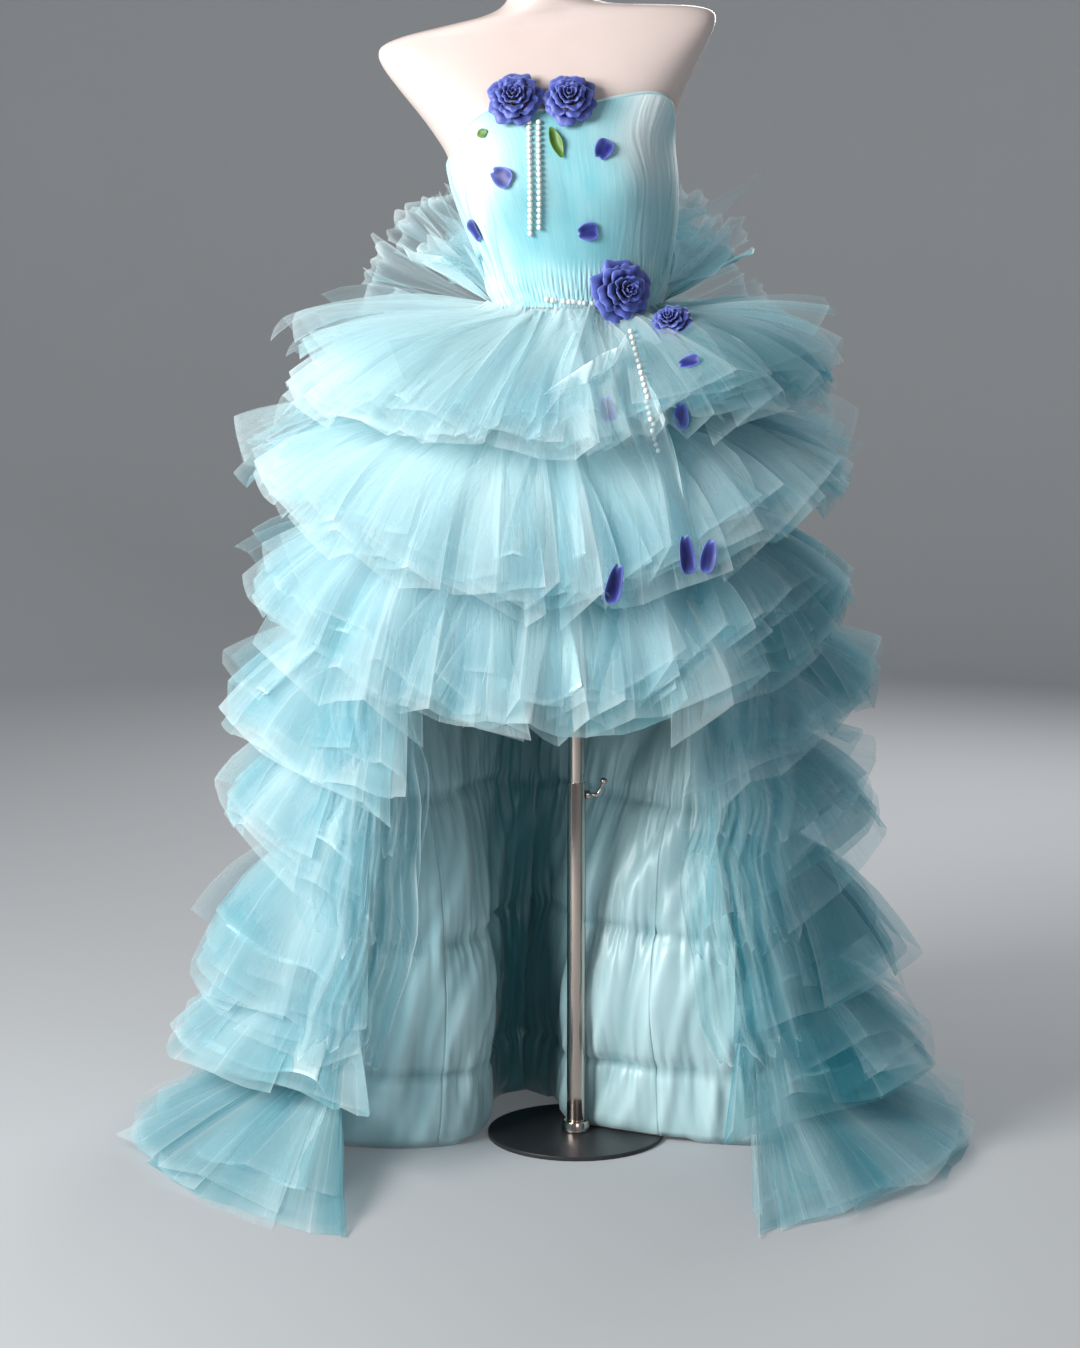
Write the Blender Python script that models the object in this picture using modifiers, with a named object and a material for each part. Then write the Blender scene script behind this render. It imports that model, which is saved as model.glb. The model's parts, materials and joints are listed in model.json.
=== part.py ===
"""Strapless high-low dress of gathered tulle tiers, standing on a limbless dress form.

Blender 4.5 script. Metres, +Z up. The dress faces -Y, and the stand's pole is the Z axis.
Azimuths are in degrees from the centre front, positive towards +X, 180 at the centre back.
"""

import math
from collections import namedtuple

import bmesh
import bpy
from mathutils import Matrix, Vector
from mathutils.bvhtree import BVHTree

# Heights above the floor
WAIST = 1.115
SHOULDER = 1.472
FORM_BOTTOM = 0.800
FRONT_HEM = 0.620
POLE_JOIN = 0.487
LEVER_HEIGHT = 0.470

# Cloth
SATIN = 0.0015
TULLE = 0.0012
SCRAP_THICKNESS = 0.0010
SEAM = 0.0005
EASE = 0.0036
SNUG = 0.0007

# The form stands with its shoulders tipped and its chest to one side of the pole
TIP = math.radians(6.0)
CHEST_SHIFT = -0.040
SKIRT_SHIFT = -0.037

# Stand
POLE_RADIUS = 0.0125
POLE_WALL = 0.0010
INNER_POLE_RADIUS = 0.0110
POLE_OVERLAP = 0.080
BASE_RADIUS = 0.120
BASE_THICKNESS = 0.006
BASE_BEVEL = 0.0015
BOSS_HEIGHT = 0.014
BOSS_TOP_RADIUS = 0.017
BOSS_FOOT_RADIUS = 0.020
SOCKET_RADIUS = 0.030
SOCKET_THICKNESS = 0.010
CLAMP_BOSS_LENGTH = 0.0060
CLAMP_BOSS_ROOT = 0.0065
CLAMP_BOSS_END = 0.0055
LEVER_ROD = 0.0028
LEVER_BALL = 0.0050
# The lever's run from the clamp boss: out from the pole, up, and its thickness in rod radii
Bend = namedtuple("Bend", "out up size")
LEVER_BENDS = [
    Bend(0.0000, 0.0000, 1.0),
    Bend(0.0060, -0.0005, 1.0),
    Bend(0.0095, 0.0015, 1.0),
    Bend(0.0120, 0.0060, 0.95),
    Bend(0.0150, 0.0135, 0.9),
    Bend(0.0158, 0.0155, 1.2),
    Bend(0.0166, 0.0178, LEVER_BALL / LEVER_ROD),
    Bend(0.0174, 0.0200, LEVER_BALL / LEVER_ROD),
    Bend(0.0183, 0.0226, 1.1),
]

Section = namedtuple("Section", "height half_width front back square")
FORM = [
    Section(0.800, 0.128, 0.070, 0.084, 1.00),
    Section(0.820, 0.152, 0.086, 0.102, 1.00),
    Section(0.900, 0.166, 0.096, 0.112, 1.00),
    Section(0.980, 0.156, 0.094, 0.104, 1.00),
    Section(1.050, 0.126, 0.085, 0.088, 1.00),
    Section(1.115, 0.107, 0.077, 0.077, 1.00),
    Section(1.165, 0.117, 0.084, 0.081, 1.00),
    Section(1.215, 0.131, 0.098, 0.087, 0.97),
    Section(1.270, 0.141, 0.110, 0.091, 0.95),
    Section(1.320, 0.145, 0.104, 0.093, 0.92),
    Section(1.350, 0.157, 0.092, 0.092, 0.85),
    Section(1.380, 0.173, 0.080, 0.088, 0.75),
    Section(1.415, 0.195, 0.068, 0.080, 0.65),
    Section(1.445, 0.213, 0.056, 0.070, 0.60),
    Section(1.462, 0.218, 0.048, 0.060, 0.62),
    Section(1.473, 0.211, 0.043, 0.054, 0.68),
    Section(1.481, 0.185, 0.043, 0.052, 0.75),
    Section(1.488, 0.135, 0.044, 0.050, 0.85),
    Section(1.494, 0.090, 0.046, 0.049, 0.95),
    Section(1.503, 0.062, 0.048, 0.048, 1.00),
    Section(1.518, 0.050, 0.048, 0.047, 1.00),
    Section(1.545, 0.046, 0.047, 0.046, 1.00),
]
FORM_STEP = 0.041
FORM_COLUMNS = 26
CUP_AZIMUTH = 30.0
CUP_SPREAD = 20.0
CUP_HEIGHT = 1.270
CUP_DROP = 0.045
CUP_DEPTH = 0.012

Neckline = namedtuple("Neckline", "azimuth height")
NECKLINE = [
    Neckline(-180, 1.300),
    Neckline(-130, 1.302),
    Neckline(-95, 1.305),
    Neckline(-78, 1.312),
    Neckline(-60, 1.326),
    Neckline(-48, 1.342),
    Neckline(-35, 1.360),
    Neckline(-18, 1.374),
    Neckline(0, 1.366),
    Neckline(18, 1.374),
    Neckline(42, 1.377),
    Neckline(62, 1.363),
    Neckline(78, 1.336),
    Neckline(95, 1.318),
    Neckline(130, 1.308),
    Neckline(180, 1.300),
]
BODICE_ROWS = 8

LINING = [
    Section(1.115, 0.1085, 0.0785, 0.0785, 1.0),
    Section(1.050, 0.1480, 0.1050, 0.1060, 1.0),
    Section(0.980, 0.1740, 0.1240, 0.1300, 1.0),
    Section(0.900, 0.1900, 0.1380, 0.1520, 1.0),
    Section(0.800, 0.2030, 0.1480, 0.1750, 1.0),
    Section(0.700, 0.2140, 0.1570, 0.1950, 1.0),
    Section(0.600, 0.2240, 0.1660, 0.2120, 1.0),
    Section(0.400, 0.2460, 0.1820, 0.2450, 1.0),
    Section(0.200, 0.2700, 0.2000, 0.2780, 1.0),
    Section(0.000, 0.2950, 0.2180, 0.3080, 1.0),
]
# The train's front edge falls from the front hem to the floor between these azimuths
EDGE_FROM = 55.0
EDGE_TO = 86.0
# The train's plan where it is fully folded, in half-widths and depths of its section: both sides
# come in towards the pole, and a valley runs back between them
Plan = namedtuple("Plan", "azimuth x y")
LINING_PLAN = [
    Plan(-180, -0.11, 0.66),
    Plan(-166, -0.24, 0.56),
    Plan(-150, -0.31, 0.29),
    Plan(-136, -0.30, 0.02),
    Plan(-122, -0.41, -0.22),
    Plan(-108, -0.66, -0.31),
    Plan(-95, -0.91, -0.27),
    Plan(-84, -0.977, -0.20),
    Plan(-70, -0.94, -0.34),
    Plan(-55, -0.82, -0.57),
    Plan(0, 0.00, -1.00),
    Plan(55, 0.82, -0.57),
    Plan(70, 0.94, -0.34),
    Plan(84, 0.977, -0.20),
    Plan(94, 0.93, -0.24),
    Plan(104, 0.76, -0.21),
    Plan(116, 0.51, -0.13),
    Plan(128, 0.29, 0.01),
    Plan(140, 0.11, 0.11),
    Plan(152, 0.07, 0.26),
    Plan(166, 0.02, 0.50),
    Plan(180, -0.11, 0.66),
]
FOLD_TOP = 0.80
FOLD_FULL = 0.16
LINING_ROWS = 8

# One row for each tulle tier. Rings go all round and arcs are open at the front.
# attach_from and hem_from are the azimuths where an arc starts on the lining and at its hem.
# attach, hem and reach are heights and radii at the front edge, the side and the back.
Tier = namedtuple("Tier", "name attach_from hem_from attach hem reach lift spring waves swing dip")
TIERS = [
    Tier("tier_1", 0, 0, (1.109, 1.109, 1.107), (0.952, 0.985, 0.930), (0.270, 0.392, 0.335),
         (-0.045, 0.036, 0.020), (0.28, 0.82, 0.75), 18, 0.034, 0.018),
    Tier("tier_2", 0, 0, (0.960, 0.992, 0.950), (0.755, 0.872, 0.745), (0.302, 0.422, 0.375),
         (0.000, 0.004, 0.004), (0.62, 0.72, 0.70), 19, 0.036, 0.018),
    Tier("tier_3", 0, 0, (0.792, 0.862, 0.780), (0.592, 0.722, 0.565), (0.318, 0.416, 0.400),
         (0.000, 0.002, 0.002), (0.62, 0.72, 0.70), 19, 0.036, 0.018),
    Tier("tier_4", 58, 50, (0.655, 0.740, 0.640), (0.510, 0.582, 0.435), (0.315, 0.458, 0.435),
         (0.000, 0.000, 0.000), (0.66, 0.72, 0.70), 13, 0.034, 0.016),
    Tier("tier_5", 68, 58, (0.520, 0.598, 0.510), (0.345, 0.440, 0.315), (0.308, 0.460, 0.460),
         (0.000, 0.000, 0.000), (0.66, 0.72, 0.70), 14, 0.034, 0.016),
    Tier("tier_6", 72, 60, (0.370, 0.448, 0.372), (0.180, 0.238, 0.205), (0.325, 0.494, 0.500),
         (0.000, 0.000, 0.000), (0.66, 0.70, 0.70), 14, 0.034, 0.014),
    Tier("tier_7", 78, 52, (0.205, 0.272, 0.242), (0.075, 0.098, 0.100), (0.378, 0.548, 0.550),
         (0.000, 0.000, 0.000), (0.62, 0.66, 0.66), 14, 0.032, 0.010),
    Tier("tier_8", 76, 34, (0.090, 0.112, 0.110), (0.000, 0.000, 0.000), (0.505, 0.584, 0.600),
         (0.000, 0.000, 0.000), (0.42, 0.46, 0.46), 15, 0.030, 0.000),
]
COLUMNS_A_WAVE = 4
TIER_ROWS = 3
TIER_GAP = 0.0010
# The ruffle that stands up behind the waist
BUSTLE = Tier("back_ruffle", 98, 84, (1.119, 1.119, 1.119), (1.205, 1.200, 1.262),
              (0.200, 0.280, 0.235), (0.050, 0.050, 0.060), (0.40, 0.40, 0.40), 10, 0.026, 0.024)

# Roses, petals and leaves sit on a cloth at an x and a height seen from the front
Rose = namedtuple("Rose", "name on x height radius out rise turn upward")
ROSES = [
    Rose("neckline_rose_left", "bodice_front", -0.0800, 1.361, 0.0340, 0.0008, 0.014, 10.0, 0.0),
    Rose("neckline_rose_right", "bodice_front", -0.0110, 1.360, 0.0330, 0.0008, 0.014, 40.0, 0.0),
    Rose("waist_rose_large", "bodice_front", 0.0490, 1.137, 0.0400, 0.0062, 0.0, 25.0, 16.0),
    Rose("waist_rose_small", "tier_1", 0.1190, 1.093, 0.0265, 0.0012, 0.0, 60.0, 0.0),
]
# Rings of a rose in radii, from the calyx out, up and in to the bud
Ring = namedtuple("Ring", "radius height lobe turn")
ROSE_RINGS = [
    Ring(0.42, 0.00, 0.00, 0.0),
    Ring(0.80, 0.12, 0.05, 0.0),
    Ring(1.00, 0.44, 0.12, 0.0),
    Ring(0.84, 0.40, 0.08, 0.0),
    Ring(0.70, 0.36, 0.05, 0.5),
    Ring(0.75, 0.66, 0.12, 0.5),
    Ring(0.58, 0.56, 0.06, 0.5),
    Ring(0.45, 0.52, 0.05, 0.0),
    Ring(0.48, 0.82, 0.12, 0.0),
    Ring(0.33, 0.70, 0.06, 0.0),
    Ring(0.19, 0.90, 0.10, 0.5),
    Ring(0.10, 0.80, 0.00, 0.5),
]
ROSE_LOBES = 5
ROSE_COLUMNS = 15

SCRAP_LIFT = 0.0004
Scrap = namedtuple("Scrap", "name on x height length width turn")
SCRAPS = [
    Scrap("petal_bodice_1", "bodice_front", -0.096, 1.280, 0.030, 0.026, 60.0),
    Scrap("petal_bodice_2", "bodice_front", 0.031, 1.313, 0.028, 0.024, 150.0),
    Scrap("petal_bodice_3", "bodice_front", -0.130, 1.216, 0.030, 0.024, 200.0),
    Scrap("petal_bodice_4", "bodice_front", 0.012, 1.213, 0.026, 0.025, 100.0),
    Scrap("leaf_neckline_1", "bodice_front", -0.028, 1.322, 0.042, 0.015, 200.0),
    Scrap("leaf_neckline_2", "bodice_front", -0.121, 1.335, 0.014, 0.012, 120.0),
    Scrap("petal_tier_1_a", "tier_1", 0.136, 1.050, 0.026, 0.016, 110.0),
    Scrap("petal_tier_1_b", "tier_1", 0.036, 0.992, 0.032, 0.020, 10.0),
    Scrap("petal_tier_1_c", "tier_1", 0.128, 0.984, 0.034, 0.020, 5.0),
    Scrap("petal_tier_2_a", "tier_2", 0.040, 0.785, 0.050, 0.022, 340.0),
    Scrap("petal_tier_2_b", "tier_2", 0.128, 0.822, 0.048, 0.021, 8.0),
    Scrap("petal_tier_2_c", "tier_2", 0.159, 0.816, 0.042, 0.020, 350.0),
]

COLOURS = {
    "satin": ((0.560, 0.780, 0.800), 0.45, 0.0),
    "tulle": ((0.430, 0.730, 0.780), 0.80, 0.0),
    "rose": ((0.060, 0.075, 0.420), 0.70, 0.0),
    "leaf": ((0.060, 0.150, 0.020), 0.70, 0.0),
    "form": ((0.820, 0.640, 0.580), 0.35, 0.0),
    "chrome": ((0.620, 0.500, 0.440), 0.12, 1.0),
    "base": ((0.020, 0.020, 0.022), 0.45, 0.0),
}


def smooth(t):
    t = min(max(t, 0.0), 1.0)
    return t * t * (3 - 2 * t)


def mix(a, b, t):
    return a + (b - a) * t


def along(rows, key, at, column):
    """The column of a table at a height or azimuth, on a smooth curve through its rows."""
    rows = sorted(rows, key=lambda row: getattr(row, key))
    keys = [getattr(row, key) for row in rows]
    values = [getattr(row, column) for row in rows]
    last = len(rows) - 1
    at = min(max(at, keys[0]), keys[-1])
    i = next(i for i in range(last) if at <= keys[i + 1])
    slopes = []
    for j in (i, i + 1):
        before, after = max(j - 1, 0), min(j + 1, last)
        slopes.append((values[after] - values[before]) / (keys[after] - keys[before]))
    step = keys[i + 1] - keys[i]
    t = (at - keys[i]) / step
    return (
        (2 * t**3 - 3 * t**2 + 1) * values[i]
        + (t**3 - 2 * t**2 + t) * step * slopes[0]
        + (3 * t**2 - 2 * t**3) * values[i + 1]
        + (t**3 - t**2) * step * slopes[1]
    )


def material_of(name):
    made = bpy.data.materials.get(name)
    if made is None:
        colour, roughness, metallic = COLOURS[name]
        made = bpy.data.materials.new(name)
        made.use_nodes = True
        shader = made.node_tree.nodes["Principled BSDF"]
        shader.inputs["Base Color"].default_value = (*colour, 1.0)
        shader.inputs["Roughness"].default_value = roughness
        shader.inputs["Metallic"].default_value = metallic
    return made


def add_object(name, mesh, material, parts):
    obj = bpy.data.objects.new(name, mesh)
    obj.data.materials.append(material_of(material))
    parts.objects.link(obj)
    return obj


def grid_mesh(name, surface, columns, rows, closed=False):
    """A Blender grid whose points are carried to surface(u, v), with u and v from 0 to 1."""
    bm = bmesh.new()
    bmesh.ops.create_grid(bm, x_segments=columns, y_segments=rows, size=0.5)
    for vert in bm.verts:
        vert.co = surface(vert.co.x + 0.5, vert.co.y + 0.5)
    if closed:
        bmesh.ops.remove_doubles(bm, verts=bm.verts, dist=1e-6)
    mesh = bpy.data.meshes.new(name)
    bm.to_mesh(mesh)
    bm.free()
    return mesh


def add_cloth(name, surface, columns, rows, thickness, material, parts, closed=False, upward=True):
    """A sheet of cloth: its inner face follows surface(u, v), which runs up or down the body."""
    obj = add_object(name, grid_mesh(name, surface, columns, rows, closed), material, parts)
    obj.data.shade_smooth()
    wall = obj.modifiers.new("wall", "SOLIDIFY")
    wall.thickness = thickness
    wall.offset = 1.0 if upward else -1.0
    wall.use_even_offset = False
    return obj


# Shapes shared by the form, the bodice and the skirt
def lean(point):
    """Tips a point above the waist with the form's shoulders and carries it with the chest."""
    t = smooth((point.z - WAIST) / (SHOULDER - WAIST))
    angle = TIP * t
    return Vector((
        CHEST_SHIFT * t + point.x * math.cos(angle),
        point.y,
        point.z + point.x * math.sin(angle),
    ))


def plan_point(table, azimuth, height, out):
    """A point of a table's section at an azimuth, moved out from it."""
    a = math.radians(azimuth)
    half_width, front, back, square = (
        along(table, "height", height, column)
        for column in ("half_width", "front", "back", "square")
    )
    s, c = math.sin(a), math.cos(a)
    depth = front if c > 0 else back
    return Vector((
        (half_width + out) * math.copysign(abs(s) ** square, s),
        -(depth + out) * math.copysign(abs(c) ** square, c),
        height,
    ))


def cup(azimuth, height):
    """How far the form's bust stands out."""
    side = min(abs(azimuth - CUP_AZIMUTH), abs(azimuth + CUP_AZIMUTH)) / CUP_SPREAD
    level = (height - CUP_HEIGHT) / CUP_DROP
    return CUP_DEPTH * math.exp(-side * side - level * level)


def wrapped(azimuth):
    return (azimuth + 180.0) % 360.0 - 180.0


def form_point(azimuth, height, out=0.0):
    point = plan_point(FORM, azimuth, height, out + cup(wrapped(azimuth), height))
    point.x += skirt_shift(height)
    return lean(point)


def skirt_shift(height):
    return SKIRT_SHIFT * smooth((WAIST - height) / 0.2)


def seam_turn(surface, azimuth, height):
    """The turn that leaves half a seam's gap beside an azimuth of a surface."""
    run = (surface(azimuth + 0.5, height) - surface(azimuth - 0.5, height)).length
    return 0.5 * SEAM / run


def bodice_point(azimuth, t, out=0.0):
    """The bodice's inner face: snug at the waist, and eased above it."""
    top = along(NECKLINE, "azimuth", wrapped(azimuth), "height")
    height = mix(WAIST + SEAM, top, t)
    ease = mix(SNUG, EASE, smooth(t / 0.25))
    return form_point(azimuth, height, ease + out)


def lining_hem(azimuth):
    """The height of the high-low hem at an azimuth."""
    drop = smooth((abs(wrapped(azimuth)) - EDGE_FROM) / (EDGE_TO - EDGE_FROM))
    return FRONT_HEM * (1 - drop)


def lining_point(azimuth, height, out=0.0, folded=True):
    """The lining's inner face, or the plain ring that its folds come in from."""
    point = plan_point(LINING, azimuth, height, out)
    if folded:
        half_width = along(LINING, "height", height, "half_width")
        x = along(LINING_PLAN, "azimuth", wrapped(azimuth), "x")
        y = along(LINING_PLAN, "azimuth", wrapped(azimuth), "y")
        depth = along(LINING, "height", height, "front" if y < 0 else "back")
        grown = smooth((FOLD_TOP - height) / (FOLD_TOP - FOLD_FULL))
        point = point.lerp(Vector((x * half_width, y * depth, height)), grown)
    point.x += skirt_shift(height)
    from_base = point.xy.length - BASE_RADIUS
    foot = (BASE_THICKNESS + SEAM) * (1 - smooth((from_base - 0.03) / 0.03))
    point.z = max(point.z, foot)
    return point


# Tulle tiers
def by_place(values, azimuth, start):
    """A tier's value between its front edge, its side and its back."""
    front, side, back = values
    turn = abs(wrapped(azimuth))
    if turn <= 90:
        return mix(front, side, smooth((turn - start) / (90 - start)))
    return mix(side, back, smooth((turn - 90) / 90))


def wave(u, waves):
    """A gathered edge from 0 to 1: folds of uneven depth."""
    turn = u * waves
    depth = 0.78 + 0.22 * math.sin(2.4 * turn + 0.7) * math.sin(1.1 * turn)
    return depth * (0.5 - 0.5 * math.cos(2 * math.pi * turn))


def tier_point(tier, u, v, out=0.0):
    """A tier's inner face: a curve from its seam on the lining to its waved hem."""
    attach_azimuth = mix(tier.attach_from, 360 - tier.attach_from, u)
    hem_azimuth = mix(tier.hem_from, 360 - tier.hem_from, u)
    seam_height = by_place(tier.attach, attach_azimuth, tier.attach_from)
    if tier is BUSTLE:
        top = along(NECKLINE, "azimuth", wrapped(attach_azimuth), "height")
        t = (seam_height - WAIST - SEAM) / (top - WAIST - SEAM)
        seam = bodice_point(attach_azimuth, t, SATIN + TIER_GAP)
    else:
        seam = lining_point(attach_azimuth, seam_height, SATIN + TIER_GAP, folded=False)
    a = math.radians(hem_azimuth)
    outward = Vector((math.sin(a), -math.cos(a), 0.0))
    folds = wave(u, tier.waves)
    hem_height = by_place(tier.hem, hem_azimuth, tier.hem_from)
    reach = by_place(tier.reach, hem_azimuth, tier.hem_from) - tier.swing
    hem = outward * reach
    hem.x += skirt_shift(hem_height)
    hem.z = hem_height + tier.dip * (folds - 0.5)
    middle = seam.lerp(hem, by_place(tier.spring, hem_azimuth, tier.hem_from))
    middle.z = seam.z + by_place(tier.lift, hem_azimuth, tier.hem_from)
    point = seam * (1 - v) ** 2 + middle * (2 * v * (1 - v)) + hem * v**2
    run = hem - seam
    across = Vector((outward.x * abs(run.z), outward.y * abs(run.z), run.xy.length)).normalized()
    if tier.hem[1] == 0:
        across = outward
    point += across * (tier.swing * folds * v**1.15 + out)
    point.z = max(point.z, 0.0)
    return point


def add_tier(tier, parts):
    ring = tier.attach_from == 0
    add_cloth(
        tier.name, lambda u, v: tier_point(tier, u, v), tier.waves * COLUMNS_A_WAVE, TIER_ROWS,
        TULLE, "tulle", parts, closed=ring, upward=tier is BUSTLE,
    )


# The form and its stand
def add_form(parts):
    """The limbless torso: a loft of its sections, closed at the hips and the neck."""
    heights = [FORM[0].height]
    for lower, upper in zip(FORM, FORM[1:]):
        rows = math.ceil((upper.height - lower.height) / FORM_STEP)
        heights += [mix(lower.height, upper.height, (i + 1) / rows) for i in range(rows)]
    rows = len(heights) - 1

    def surface(u, v):
        return form_point(360.0 * u, heights[round(v * rows)])

    mesh = grid_mesh("form_torso", surface, FORM_COLUMNS, rows, closed=True)
    bm = bmesh.new()
    bm.from_mesh(mesh)
    bmesh.ops.holes_fill(bm, edges=bm.edges)
    bmesh.ops.recalc_face_normals(bm, faces=bm.faces)
    bm.to_mesh(mesh)
    bm.free()
    mesh.shade_smooth()
    add_object("form_torso", mesh, "form", parts)


def add_turned(name, profile, steps, material, parts):
    """A profile of (radius, height) points turned about the pole's axis."""
    mesh = bpy.data.meshes.new(name)
    points = [(radius, 0.0, height) for radius, height in profile]
    edges = [(i, i + 1) for i in range(len(points) - 1)]
    mesh.from_pydata(points, edges, [])
    obj = add_object(name, mesh, material, parts)
    turned = obj.modifiers.new("turned", "SCREW")
    turned.axis = "Z"
    turned.steps = turned.render_steps = steps
    turned.use_merge_vertices = True
    turned.merge_threshold = 0.00001
    turned.use_smooth_shade = False
    return obj


def add_stand(parts):
    top = BASE_THICKNESS
    add_turned("stand_base", [
        (0.0, top), (BASE_RADIUS - BASE_BEVEL, top), (BASE_RADIUS, top - BASE_BEVEL),
        (BASE_RADIUS, 0.0), (0.0, 0.0),
    ], 36, "base", parts)
    boss_top = top + BOSS_HEIGHT
    foot = top + SEAM
    bore = POLE_RADIUS + SEAM
    add_turned("stand_boss", [
        (bore, boss_top), (BOSS_TOP_RADIUS, boss_top), (BOSS_FOOT_RADIUS, foot), (bore, foot),
        (bore, boss_top),
    ], 20, "chrome", parts)
    inner = POLE_RADIUS - POLE_WALL
    add_turned("pole_lower", [
        (inner, POLE_JOIN), (POLE_RADIUS, POLE_JOIN), (POLE_RADIUS, foot), (inner, foot),
        (inner, POLE_JOIN),
    ], 20, "chrome", parts)
    add_turned("pole_upper", [
        (0.0, FORM_BOTTOM - SEAM), (INNER_POLE_RADIUS, FORM_BOTTOM - SEAM),
        (INNER_POLE_RADIUS, POLE_JOIN - POLE_OVERLAP), (0.0, POLE_JOIN - POLE_OVERLAP),
    ], 20, "chrome", parts)
    socket_top = FORM_BOTTOM - SEAM
    socket_foot = socket_top - SOCKET_THICKNESS
    socket_bore = INNER_POLE_RADIUS + SEAM
    add_turned("form_socket", [
        (socket_bore, socket_top), (SOCKET_RADIUS, socket_top), (SOCKET_RADIUS, socket_foot),
        (socket_bore, socket_foot), (socket_bore, socket_top),
    ], 20, "chrome", parts)


def add_clamp(parts):
    """The clamp screw's boss on the pole, and the bent lever with a ball that turns in it."""
    boss_start = POLE_RADIUS + SEAM
    bm = bmesh.new()
    bmesh.ops.create_cone(
        bm, cap_ends=True, segments=16, radius1=CLAMP_BOSS_ROOT, radius2=CLAMP_BOSS_END,
        depth=CLAMP_BOSS_LENGTH, matrix=Matrix.Rotation(math.radians(90), 4, "Y"),
    )
    mesh = bpy.data.meshes.new("clamp_boss")
    bm.to_mesh(mesh)
    bm.free()
    boss = add_object("clamp_boss", mesh, "chrome", parts)
    boss.location = (boss_start + CLAMP_BOSS_LENGTH / 2, 0.0, LEVER_HEIGHT)

    start = boss_start + CLAMP_BOSS_LENGTH + 1.5 * SEAM
    curve = bpy.data.curves.new("clamp_lever", "CURVE")
    curve.dimensions = "3D"
    curve.bevel_depth = LEVER_ROD
    curve.bevel_resolution = 2
    curve.use_fill_caps = True
    spline = curve.splines.new("POLY")
    spline.points.add(len(LEVER_BENDS) - 1)
    for point, bend in zip(spline.points, LEVER_BENDS):
        point.co = (bend.out, 0.0, bend.up, 1.0)
        point.radius = bend.size
    lever = bpy.data.objects.new("clamp_lever", curve)
    curve.materials.append(material_of("chrome"))
    parts.objects.link(lever)
    lever.location = (start, 0.0, LEVER_HEIGHT)


# The dress
def add_bodice(parts):
    """Front and two back panels, meeting at the side seams and the centre back."""
    panels = [
        ("bodice_front", -88.0, 88.0, 28),
        ("bodice_back_right", 88.0, 180.0, 11),
        ("bodice_back_left", 180.0, 272.0, 11),
    ]
    for name, start, end, columns in panels:
        def surface(u, v, start=start, end=end):
            first = start + seam_turn(bodice_point, start, v)
            last = end - seam_turn(bodice_point, end, v)
            return bodice_point(mix(first, last, u), v)

        add_cloth(name, surface, columns, BODICE_ROWS, SATIN, "satin", parts)


def add_lining(parts):
    """The satin underskirt: a short front panel, and sides and backs that run to the floor."""
    panels = [
        ("lining_front", -57.0, 57.0, 10),
        ("lining_side_right", 57.0, 116.0, 13),
        ("lining_back_right", 116.0, 180.0, 14),
        ("lining_back_left", 180.0, 244.0, 14),
        ("lining_side_left", 244.0, 303.0, 13),
    ]
    for name, start, end, columns in panels:
        def surface(u, v, start=start, end=end):
            azimuth = mix(start, end, u)
            height = mix(WAIST - SEAM, lining_hem(azimuth), v**1.65)
            first = start + seam_turn(lining_point, start, height)
            last = end - seam_turn(lining_point, end, height)
            return lining_point(mix(first, last, u), height)

        add_cloth(name, surface, columns, LINING_ROWS, SATIN, "satin", parts, upward=False)


def cloth_frame(on, x, height, out):
    """The frame on a cloth's outer face, straight behind an x and a height seen from the front.

    Its Z is the outward normal and its Y runs up the cloth.
    """
    tree = BVHTree.FromObject(bpy.data.objects[on], bpy.context.evaluated_depsgraph_get())
    place, normal, _, _ = tree.ray_cast(Vector((x, -2.0, height)), Vector((0, 1, 0)))
    up = (Vector((0, 0, 1)) - normal * normal.z).normalized()
    place += normal * out
    return Matrix.Translation(place) @ Matrix((up.cross(normal), up, normal)).transposed().to_4x4()


def add_rose(rose, parts):
    """A rose of three whorls: lobed rings joined from the calyx to the bud, and closed."""
    points = []
    for ring in ROSE_RINGS:
        for i in range(ROSE_COLUMNS):
            a = 2 * math.pi * i / ROSE_COLUMNS
            lobe = 0.5 + 0.5 * math.cos(ROSE_LOBES * a + 2 * math.pi * ring.turn)
            radius = rose.radius * (ring.radius - ring.lobe * (1 - lobe))
            height = rose.radius * (ring.height + 0.5 * ring.lobe * lobe)
            points.append((radius * math.cos(a), radius * math.sin(a), height))
    faces = []
    for row in range(len(ROSE_RINGS) - 1):
        for i in range(ROSE_COLUMNS):
            j = (i + 1) % ROSE_COLUMNS
            low, high = row * ROSE_COLUMNS, (row + 1) * ROSE_COLUMNS
            faces.append((low + i, low + j, high + j, high + i))
    mesh = bpy.data.meshes.new(rose.name)
    mesh.from_pydata(points, [], faces)
    bm = bmesh.new()
    bm.from_mesh(mesh)
    bmesh.ops.holes_fill(bm, edges=bm.edges)
    bmesh.ops.recalc_face_normals(bm, faces=bm.faces)
    bm.to_mesh(mesh)
    bm.free()
    obj = add_object(rose.name, mesh, "rose", parts)
    rise = Matrix.Translation((0, rose.rise, 0))
    tilt = Matrix.Rotation(math.radians(-rose.upward), 4, "X")
    turn = Matrix.Rotation(math.radians(rose.turn), 4, "Z")
    place = cloth_frame(rose.on, rose.x, rose.height, rose.out)
    obj.matrix_world = place @ rise @ tilt @ turn


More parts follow.
